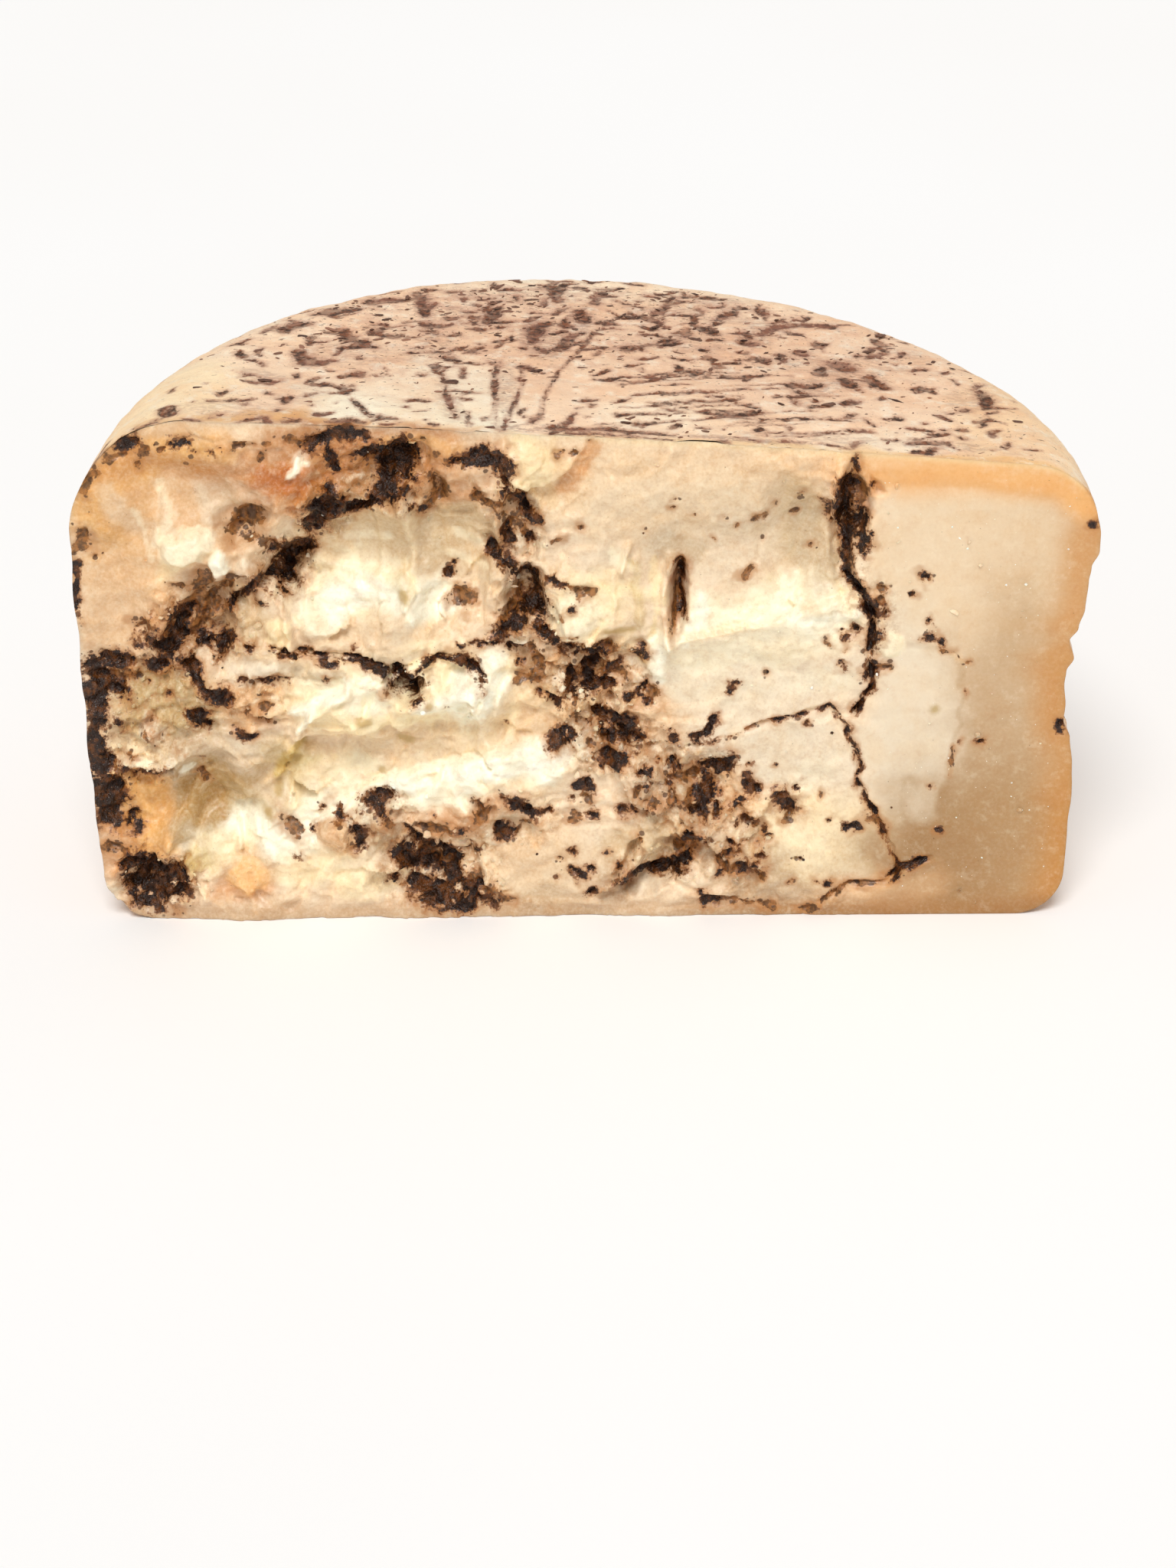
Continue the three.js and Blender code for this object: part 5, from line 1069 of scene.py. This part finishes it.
# ------------------------------------------------------------------ the cut face
def tint(base, x, z, zones, tones, fringe=0.4):
    colour = np.tile(base, (len(x), 1))
    wx = x + 3.2 * grain(x / 10, z / 10, 91) + 1.9 * grain(x / 4, z / 4, 93) + 1.0 * grain(x / 1.7, z / 1.7, 97)
    wz = z + 3.2 * grain(x / 10, z / 10, 92) + 1.9 * grain(x / 4, z / 4, 94) + 1.0 * grain(x / 1.7, z / 1.7, 98)
    for cx, cz, hx, hz, turn, tone, strength in zones:
        r = np.sqrt(ellipse(wx, wz, cx, cz, hx, hz, turn))
        share = strength * ease((1 + fringe - r) / (2 * fringe))[:, None]
        colour = colour * (1 - share) + share * linear(tones[tone])
    return colour


def face_tone(x, z):
    """Colour of the paste, with the painted highlights and shade of the zones, bands and chunks, and the darker bands
    along the rind.
    """
    tone = tint(linear("#eed6b6"), x, z, TINTS, TONE)
    wx = x + 1.2 * grain(x / 4, z / 4, 88) + 0.6 * grain(x / 1.7, z / 1.7, 89)
    for path, width, name, strength in BANDS:
        share = strength * ease(1.5 - 1.25 * np.abs(path_distance(wx, z, path)) / width)[:, None]
        tone = tone * (1 - share) + share * linear(TONE[name])
    lump = crumble(x, z) * broken_share(x) * ease((nodules(x, z) - 0.22) / 0.4)
    lump *= 0.5 * ease(0.5 + 1.2 * grain(x / 7, z / 7, 85))
    tone = tone * (1 - lump[:, None]) + lump[:, None] * linear("#ecd3a4")
    # Chunks take their own tones, lighter where they stand out into the light: partly painted highlight.
    for cx, cz, hx, hz, turn, _, name in CHUNKS:
        share = 0.85 * ease(4 * chunk_edge(x, z, cx, cz, hx, hz, turn) + 0.4)[:, None]
        tone = tone * (1 - share) + share * linear(TONE[name])
    top = np.interp(x, RIM_LINE[:, 0], RIM_LINE[:, 2]) - z
    wander = 2.0 * grain(x / 9, z / 9, 95)
    side = 129 + rind_shape(z, np.zeros(len(z))) - x + wander
    wide = 0.35 * ease((40 - side) / 36)[:, None]
    tone = tone * (1 - wide) + wide * linear("#cda677")
    band = 0.72 * ease((13 - side) / 13)[:, None]
    tone = tone * (1 - band) + band * linear("#c88637")
    warm = (0.15 + 0.75 * ease((x - 35) / 60)) * ease((14 - top + wander) / 9)
    tone = tone * (1 - warm[:, None]) + warm[:, None] * linear("#efb16a")
    crust = 0.5 * ease((2.2 - top) / 2)[:, None] * ease((x + 20) / 30)[:, None]
    tone = tone * (1 - crust) + crust * linear("#fbdca6")
    # Darker along the foot, more to the right: partly the paste's tone by the rind, partly painted shade.
    foot = ((0.55 + 0.35 * ease((x - 10) / 50)) * ease((8 - z + wander) / 7))[:, None]
    return tone * (1 - foot) + foot * linear("#a67540")


def build_face():
    u, w = np.meshgrid(np.linspace(-1, 1, FACE_COLUMNS + 1), np.linspace(-1, 1, FACE_ROWS + 1), indexing="ij")
    points = cut_point(u, w)
    shape = points.shape[:2]
    x = points[..., 0].ravel()
    z = points[..., 2].ravel()
    black, brown = face_marks(x, z)
    y = face_depth(x, z, black, brown)
    points = np.stack([x, y, z], -1)
    index = np.arange(len(x)).reshape(shape)
    a, b, c, d = index[:-1, :-1], index[1:, :-1], index[1:, 1:], index[:-1, 1:]
    faces = np.stack([a, b, c, d], -1).reshape(-1, 4)
    piece = make_mesh("cheese_face", points, faces, paste_material())
    add_colour(piece, "tone", face_tone(x, z))
    add_value(piece, "black", black)
    add_value(piece, "brown", brown)
    add_value(piece, "olive", stroke_field(x, z, OLIVE))
    add_value(piece, "rough", np.maximum(crumble(x, z), 0.25 * broken_share(x)))
    return piece, points.reshape(*shape, 3)


# ------------------------------------------------------------------ the rind
def sheet_rows(edge, inner):
    """Faces of one sheet whose first row meets the twice finer edge. edge is (2n+1, 3); inner is (n+1, m, 3)."""
    count = inner.shape[0] - 1
    depth = inner.shape[1]
    points = np.concatenate([edge, inner.reshape(-1, 3)])
    grid = len(edge) + np.arange((count + 1) * depth).reshape(count + 1, depth)
    faces = []
    for i in range(count):
        faces.append((2 * i, 2 * i + 1, grid[i, 0]))
        faces.append((2 * i + 1, grid[i + 1, 0], grid[i, 0]))
        faces.append((2 * i + 1, 2 * i + 2, grid[i + 1, 0]))
    a, b, c, d = grid[:-1, :-1], grid[1:, :-1], grid[1:, 1:], grid[:-1, 1:]
    faces.extend(map(tuple, np.stack([a, b, c, d], -1).reshape(-1, 4).tolist()))
    return points, faces


def weld(parts):
    """Joins sheets into one mesh, with vertices that lie in one place made one."""
    points = np.concatenate([p for p, _ in parts])
    _, first, where = np.unique(np.round(points / 0.002).astype(np.int64), axis=0, return_index=True, return_inverse=True)
    where = where.ravel()
    faces = []
    start = 0
    for p, fs in parts:
        for f in fs:
            g = [int(where[start + k]) for k in f]
            if len(set(g)) == len(g):
                faces.append(g)
        start += len(p)
    return points[first], faces


def vertex_normals(points, faces):
    tris = np.array([t for f in faces for t in ((f[0], f[1], f[2]), (f[0], f[2], f[-1]))[:len(f) - 2]])
    cross = np.cross(points[tris[:, 1]] - points[tris[:, 0]], points[tris[:, 2]] - points[tris[:, 0]])
    normals = np.zeros_like(points)
    for k in range(3):
        np.add.at(normals, tris[:, k], cross)
    return normals / np.maximum(np.linalg.norm(normals, axis=1, keepdims=True), 1e-12)


def side_dashes(rng):
    """Short dark strokes pressed into the side of the rind, in arc length and height."""
    strokes = []
    while len(strokes) < 230:
        s = rng.uniform(2, math.pi * RADIUS - 2)
        z = rng.uniform(6, 132)
        length = rng.uniform(1.5, 8)
        slant = rng.normal(0.2, 0.5)
        r = rng.uniform(0.4, 1.7)
        half = 0.5 * length
        dx = half * math.cos(slant)
        dz = half * math.sin(slant)
        strokes.append([(s - dx, z - dz, 0.7 * r), (s, z + 0.2 * dz, r), (s + dx, z + dz, 0.6 * r)])
    return strokes


def top_dashes(rng):
    """Smaller strokes between the drawn ones on the top, in x and y."""
    strokes = []
    while len(strokes) < 310:
        radius = 125 * math.sqrt(rng.uniform(0, 1))
        turn = rng.uniform(0.02, math.pi - 0.02)
        x = radius * math.cos(turn)
        y = radius * math.sin(turn)
        if rng.uniform(0, 1) > 0.12 + top_busy(np.array([x]), np.array([y]))[0]:
            continue
        slant = rng.normal(0.35, 0.75)
        half = rng.uniform(0.6, 3.4)
        r = rng.uniform(0.4, 1.25)
        dx = half * math.cos(slant)
        dy = half * math.sin(slant)
        bend = rng.normal(0, 0.25)
        strokes.append([(x - dx, y - dy, 0.7 * r), (x - bend * dy, y + bend * dx, r), (x + dx, y + dy, 0.6 * r)])
    for _ in range(34):
        x = rng.uniform(6, 62)
        y = rng.uniform(9, 50)
        half = rng.uniform(4, 12)
        rise = half * rng.normal(0.22, 0.06)
        r = rng.uniform(0.22, 0.5)
        strokes.append([(x - half, y - rise, 0.6 * r), (x, y + rng.normal(0, 0.3), r), (x + half, y + rise, 0.5 * r)])
    return strokes


def top_busy(x, y):
    """How crowded the fine dark marks are on the top, 0 to 1."""
    back = 0.3 + 0.7 * ease((y - 18) / 50)
    right = 0.5 * ease((x - 40) / 40)
    patches = 0.75 + 0.35 * layers(x, y, 26, 2, 210)
    clear = ease((122 - np.hypot(x, y)) / 14)
    return np.clip(np.maximum(back, right) * ease((x + 115) / 35) * patches * clear, 0, 1)


def build_rind(face, rng):
    columns = FACE_COLUMNS // 2
    rows = FACE_ROWS // 2
    across = np.linspace(-1, 1, columns + 1)
    up = np.linspace(-1, 1, rows + 1)
    back = np.linspace(0, 1, DEPTH_COLUMNS + 1)[1:]
    parts = []
    parts.append(sheet_rows(face[:, -1], skin_point(across[:, None], back[None], 1)))
    parts.append(sheet_rows(face[::-1, 0], skin_point(across[::-1][:, None], back[None], -1)))
    parts.append(sheet_rows(face[0], skin_point(-1, back[None], up[:, None])))
    parts.append(sheet_rows(face[-1, ::-1], skin_point(1, back[None], up[::-1][:, None])))
    rear = skin_point(across[:, None], 1, up[None])
    grid = np.arange(rear.shape[0] * rear.shape[1]).reshape(rear.shape[:2])
    a, b, c, d = grid[1:, :-1], grid[:-1, :-1], grid[:-1, 1:], grid[1:, 1:]
    parts.append((rear.reshape(-1, 3), np.stack([a, b, c, d], -1).reshape(-1, 4).tolist()))
    points, faces = weld(parts)

    normals = vertex_normals(points, faces)
    x, y, z = points.T
    angle = np.arctan2(np.maximum(y, 0), x)
    arc = RADIUS * (np.pi - angle)
    free = ease(y / 4)
    flat = ease((normals[:, 2] - 0.25) / 0.4)
    wall = ease((0.75 - np.abs(normals[:, 2])) / 0.4)
    dash_top = stroke_field(x, y, DASHES + top_dashes(rng))
    dash_side = stroke_field(arc, z, side_dashes(rng))
    dash_top = np.where(flat > 0.02, dash_top - 4 * (1 - flat), -5)
    dash_side = np.where(wall > 0.02, dash_side - 4 * (1 - wall), -5)
    dash = np.maximum(dash_top, dash_side)
    lift = 0.28 * layers(x, y, 13, 3, 201) * flat + 0.35 * layers(arc, z, 15, 3, 202) * wall
    lift += 0.16 * layers(x, y, 3.2, 2, 203) * flat + 0.16 * layers(arc, z, 3.2, 2, 204) * wall
    lift -= 0.35 * ease((dash + 0.6) / 1.6)
    points = points + normals * (lift * free)[:, None] * np.where(normals[:, 2:] < -0.6, 0, 1)
    near_cut = (y > 0.2) & (y < 14)
    black, brown = face_marks(x[near_cut], z[near_cut])
    carried = face_depth(x[near_cut], z[near_cut], black, brown) * (1 - y[near_cut] / 14) ** 2
    points[near_cut, 1] += carried
    piece = make_mesh("cheese_rind", points, faces, rind_material())

    top_tone = tint(linear("#ffdfbd"), x, y, TOP_TINTS, TOP_TONE)
    side_tone = np.tile(linear("#ecc193"), (len(x), 1))
    blend = layers(arc, z, 30, 3, 205)[:, None]
    side_tone = side_tone + (linear("#f4d2a8") - linear("#d9a070")) * 0.35 * blend
    under = linear("#d6a26a")
    share = flat[:, None]
    tone = side_tone * (1 - share) + top_tone * share
    below = ease((-normals[:, 2] - 0.3) / 0.5)[:, None]
    tone = tone * (1 - below) + below * under
    # Painted highlight on the rind's shoulders, stronger on the left, where the key light falls less.
    shoulder = (ease((normals[:, 2] - 0.2) / 0.3) * ease((0.97 - normals[:, 2]) / 0.2))[:, None]
    pale = (0.6 + 0.3 * ease(-x / 90))[:, None] * shoulder
    tone = tone * (1 - pale) + pale * linear("#ffdfb2")
    lip = ease((2.4 + 1.8 * layers(x, z, 6, 3, 207) - y) / 1.4)[:, None]
    tone = tone * (1 - lip) + lip * face_tone(x, z)
    add_colour(piece, "tone", tone)
    add_value(piece, "dash", dash)
    smear = np.zeros(len(x))
    for cx, cy, hx, hy, turn, strength in SMEARS:
        smear = np.maximum(smear, strength * ease(1.6 * dish(x, y, cx, cy, hx, hy, turn)))
    add_value(piece, "smear", smear * flat + 0.25 * ease(layers(arc, z, 22, 2, 206)) * wall)
    add_value(piece, "busy", flat * top_busy(x, y) + 0.45 * wall)
    reach = 0.55 * np.maximum(y, 0)
    add_value(piece, "black", np.maximum(stroke_field(x, z, BLACK) - reach, -5))
    add_value(piece, "brown", np.maximum(stroke_field(x, z, BROWN) - reach, -5))
    add_value(piece, "olive", np.full(len(x), -5.0))
    return piece


# ------------------------------------------------------------------ loose-looking crumbs that stick to the wheel
def icosahedron():
    g = (1 + math.sqrt(5)) / 2
    p = np.array([(-1, g, 0), (1, g, 0), (-1, -g, 0), (1, -g, 0), (0, -1, g), (0, 1, g),
                  (0, -1, -g), (0, 1, -g), (g, 0, -1), (g, 0, 1), (-g, 0, -1), (-g, 0, 1)])
    f = [(0, 11, 5), (0, 5, 1), (0, 1, 7), (0, 7, 10), (0, 10, 11), (1, 5, 9), (5, 11, 4), (11, 10, 2), (10, 7, 6),
         (7, 1, 8), (3, 9, 4), (3, 4, 2), (3, 2, 6), (3, 6, 8), (3, 8, 9), (4, 9, 5), (2, 4, 11), (6, 2, 10),
         (8, 6, 7), (9, 8, 1)]
    return p / np.linalg.norm(p[0]), np.array(f)


def random_turns(count, rng):
    axes = rng.normal(size=(count, 4))
    axes /= np.linalg.norm(axes, axis=1, keepdims=True)
    a, b, c, d = axes.T
    return np.stack([
        1 - 2 * (c * c + d * d), 2 * (b * c - a * d), 2 * (b * d + a * c),
        2 * (b * c + a * d), 1 - 2 * (b * b + d * d), 2 * (c * d - a * b),
        2 * (b * d - a * c), 2 * (c * d + a * b), 1 - 2 * (b * b + c * c),
    ], -1).reshape(count, 3, 3)


def grains(name, places, half_sizes, turns, tones, material, rng):
    """Small rough grains joined in one mesh; half_sizes is (n, 3) and turns (n, 3, 3) has the axes as columns."""
    ball, tris = icosahedron()
    count = len(places)
    shapes = ball[None] * (1 + rng.uniform(-0.3, 0.3, (count, 12, 1))) * half_sizes[:, None, :]
    points = (np.einsum("nij,nkj->nki", turns, shapes) + places[:, None, :]).reshape(-1, 3)
    faces = (tris[None] + 12 * np.arange(count)[:, None, None]).reshape(-1, 3)
    piece = make_mesh(name, points, faces, material)
    piece.data.polygons.foreach_set("use_smooth", np.zeros(len(piece.data.polygons), bool))
    add_colour(piece, "tone", np.repeat(tones, 12, axis=0))
    return piece


def crumbs(name, places, sizes, tones, squash, material, rng):
    stretch = 1 + rng.uniform(-squash, squash, (len(places), 3))
    return grains(name, places, sizes[:, None] * stretch, random_turns(len(places), rng), tones, material, rng)


def between(dark, light, share):
    share = np.asarray(share)[:, None]
    return linear(dark) * (1 - share) + linear(light) * share


def on_face(x, z, sink):
    """Points on the cut face at x and z, pushed into it by sink."""
    x = np.asarray(x, float)
    z = np.asarray(z, float)
    black, brown = face_marks(x, z)
    return np.stack([x, face_depth(x, z, black, brown) + sink, z], -1)


def inside_face(x, z, margin=1.0):
    top = np.interp(x, RIM_LINE[:, 0], RIM_LINE[:, 2])
    side = 128.5 + rind_shape(z, np.zeros(len(z)))
    left = 128.5 - np.maximum(0, z - 104) ** 2 / 66 - np.maximum(0, 14 - z) ** 2 / 26
    return (z > margin) & (z < top - margin) & (x < side - margin) & (x > -left + margin)


def vein_crumbs(rng):
    xs, zs, sizes, shades = [], [], [], []
    for strokes, tone, share in ((BLACK, 0.15, 1.0), (BROWN, 0.6, 0.55)):
        for stroke in strokes:
            points = stroke if len(stroke) > 1 else [stroke[0], stroke[0]]
            for (ax, az, ar), (bx, bz, br) in zip(points, points[1:]):
                length = math.hypot(bx - ax, bz - az)
                width = 0.5 * (ar + br)
                count = rng.poisson(share * (0.5 + 0.13 * (length + width) * (width + 0.8)))
                t = rng.uniform(0, 1, count)
                r = ar + (br - ar) * t
                spread = r * 0.5 + rng.exponential(1.2, count) * (rng.uniform(0, 1, count) < 0.3)
                xs.append(ax + (bx - ax) * t + rng.normal(0, 1, count) * spread)
                zs.append(az + (bz - az) * t + rng.normal(0, 1, count) * spread)
                sizes.append(np.clip(rng.lognormal(-1.2, 0.4, count), 0.13, 0.36 + 0.09 * width))
                shades.append(np.clip(rng.normal(tone, 0.25, count), 0, 1))
    x, z, size, shade = map(np.concatenate, (xs, zs, sizes, shades))
    keep = inside_face(x, z)
    x, z, size, shade = x[keep], z[keep], size[keep], shade[keep]
    look = crumb_material("vein_crumb", "#8a5c34", 0.4, 0.45, 0)
    return crumbs("vein_crumbs", on_face(x, z, 0.3 * size), size, between("#1d110a", "#6f4422", shade), 0.35, look, rng)


def paste_flakes(rng):
    count = 5200
    x = rng.uniform(-126, 122, count)
    z = rng.uniform(3, 136, count)
    black, brown = face_marks(x, z)
    likely = 0.04 + 0.96 * crumble(x, z) * broken_share(x)
    keep = inside_face(x, z, 2) & (rng.uniform(0, 1, count) < 0.5 * likely) & (np.maximum(black, brown) < -0.5)
    x, z = x[keep], z[keep]
    size = np.clip(rng.lognormal(-0.8, 0.45, len(x)), 0.2, 1.2)
    tones = face_tone(x, z) * rng.uniform(0.9, 1.12, (len(x), 1))
    look = crumb_material("paste_flake", "#fff6dc", 0.25, 0.48, 0.2)
    return crumbs("paste_flakes", on_face(x, z, 0.35 * size), size, np.minimum(tones, 0.97), 0.55, look, rng)


def crystals(rng):
    x = rng.uniform(74, 124, 150)
    z = rng.uniform(8, 124, 150)
    keep = inside_face(x, z, 2.5)
    x = np.concatenate([x[keep], [114.7, 95, 97, 93, 107, 112, -84, -99.4, -66, -76, -121, -46, -53.6, 58]])
    z = np.concatenate([z[keep], [30.7, 108, 105, 111, 95, 95, 108.6, 91.4, 113, 94.4, 62, 74, 131.4, 66]])
    size = np.clip(rng.lognormal(-1.6, 0.35, len(x)), 0.12, 0.36)
    size[-14:] = rng.uniform(0.3, 0.55, 14)
    look = crumb_material("crystal", "#ffffff", 0.3, 0.3, 0.2)
    tones = between("#fffdf2", "#ecd6b0", rng.uniform(0, 1, len(x)))
    return crumbs("crystals", on_face(x, z, 0.6 * size), size, tones, 0.3, look, rng)


def top_point(x, y):
    """A point of the rind's top over (x, y)."""
    angle = np.arctan2(y, x)
    corner = shoulder_radius(angle)
    over = np.clip(np.hypot(x, y) - (RADIUS - corner), 0, corner)
    z = HEIGHT - corner + np.sqrt(corner ** 2 - over ** 2)
    return settle(x, y, z)


def side_point(arc, z):
    """A point of the rind's side, from the length along it and its height, between foot and shoulder."""
    angle = np.pi - arc / RADIUS
    return settle(RADIUS * np.cos(angle), RADIUS * np.sin(angle), z)


def surface_frames(point, a, b, heading):
    """Places on the rind, and axes along the heading, across it and outwards."""
    place = point(a, b)
    step_a = point(a + 0.5, b) - place
    step_b = point(a, b + 0.5) - place
    out = np.cross(step_a, step_b)
    out /= np.linalg.norm(out, axis=1, keepdims=True)
    along = step_a * np.cos(heading)[:, None] + step_b * np.sin(heading)[:, None]
    along /= np.linalg.norm(along, axis=1, keepdims=True)
    return place, np.stack([along, np.cross(out, along), out], -1), out


def rind_flecks(rng):
    """Thin dark shreds pressed into the rind."""
    count = 1300
    radius = 118 * np.sqrt(rng.uniform(0, 1, count))
    turn = rng.uniform(0, np.pi, count)
    x = radius * np.cos(turn)
    y = radius * np.sin(turn)
    keep = (rng.uniform(0, 1, count) < top_busy(x, y)) & (y > 2)
    x, y = x[keep], y[keep]
    heading = rng.normal(0.35, 0.55, len(x))
    top, top_axes, top_out = surface_frames(top_point, x, y, heading)
    count = 620
    arc = rng.uniform(3, np.pi * RADIUS - 3, count)
    z = rng.uniform(15, 108, count)
    side, side_axes, side_out = surface_frames(side_point, arc, z, rng.normal(0.1, 0.6, count))
    side_axes[:, :, 1] *= np.sign(side_out[:, :1] * side[:, :1] + side_out[:, 1:2] * side[:, 1:2])
    places = np.concatenate([top, side])
    axes = np.concatenate([top_axes, side_axes])
    total = len(places)
    long = np.clip(rng.lognormal(-0.15, 0.5, total), 0.3, 2.6)
    halves = np.stack([long, long * rng.uniform(0.22, 0.55, total), rng.uniform(0.12, 0.22, total)], -1)
    tones = between("#3a2117", "#9d6f58", np.clip(rng.normal(0.45, 0.3, total), 0, 1))
    look = crumb_material("rind_fleck", "#a37a62", 0.35, 0.6, 0)
    return grains("rind_flecks", places, halves, axes, tones, look, rng)


# ------------------------------------------------------------------ put together
rng = np.random.default_rng(8903)
face_piece, face_grid = build_face()
rind_piece = build_rind(face_grid, rng)
pieces = [face_piece, rind_piece, vein_crumbs(rng), paste_flakes(rng), crystals(rng), rind_flecks(rng)]
for piece in pieces:
    piece.location = (AXIS_X * MM, AXIS_Y * MM, 0)
    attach(piece, "root")
    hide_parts("cheese")

# ------------------------------------------------------------------ floor, light and camera
def floor_material():
    n = Nodes("floor")
    n.put(n.mix(n.ramp(n.noise(400, 2, 0.5), 0.3, 0.7), rgba("#fcfbfa"), rgba("#fdfdfd")), n.shader.inputs["Base Color"])
    n.shader.inputs["Roughness"].default_value = 0.7
    return n.material


bpy.ops.mesh.primitive_plane_add(size=24)
floor = bpy.context.object
floor.name = "floor"
floor.data.materials.append(floor_material())


def matrix_from(right, up, back, place):
    rows = [[right[i], up[i], back[i], place[i]] for i in range(3)]
    return Matrix(rows + [[0, 0, 0, 1]])


key = bpy.data.lights.new("key", "SUN")
key.energy = 2.2
key.angle = math.radians(26)
key.color = (1.0, 0.99, 0.975)
key_lamp = bpy.data.objects.new("key", key)
key_lamp.rotation_euler = (math.radians(34), 0, math.radians(-4))
bpy.context.scene.collection.objects.link(key_lamp)

world = bpy.data.worlds.new("studio")
bpy.context.scene.world = world
world.use_nodes = True
sky = world.node_tree.nodes["Background"]
sky.inputs["Color"].default_value = (1.0, 0.995, 0.985, 1)
sky.inputs["Strength"].default_value = 0.45

AIM = np.array((-0.161 + AXIS_X, AXIS_Y, 39.423))
TURN = math.radians(2.34)
RISE = math.radians(27.0)
ROLL = math.radians(-1.521)
DISTANCE = 996.8
behind = np.array((math.sin(TURN) * math.cos(RISE), -math.cos(TURN) * math.cos(RISE), math.sin(RISE)))
sideways = np.cross(-behind, (0, 0, 1))
sideways /= np.linalg.norm(sideways)
upward = np.cross(sideways, -behind)
right_hand = sideways * math.cos(ROLL) + upward * math.sin(ROLL)
overhead = -sideways * math.sin(ROLL) + upward * math.cos(ROLL)
lens = bpy.data.cameras.new("camera")
lens.sensor_width = 36.0
lens.lens = 5000 * 36.0 / 2048
lens.clip_start = 0.05
lens.clip_end = 30
camera = bpy.data.objects.new("camera", lens)
bpy.context.scene.collection.objects.link(camera)
camera.matrix_world = matrix_from(right_hand, overhead, behind, (AIM + behind * DISTANCE) * MM)
bpy.context.scene.camera = camera

bpy.context.scene.view_settings.view_transform = "Standard"
bpy.context.scene.view_settings.look = "None"
bpy.context.scene.view_settings.exposure = 0.0
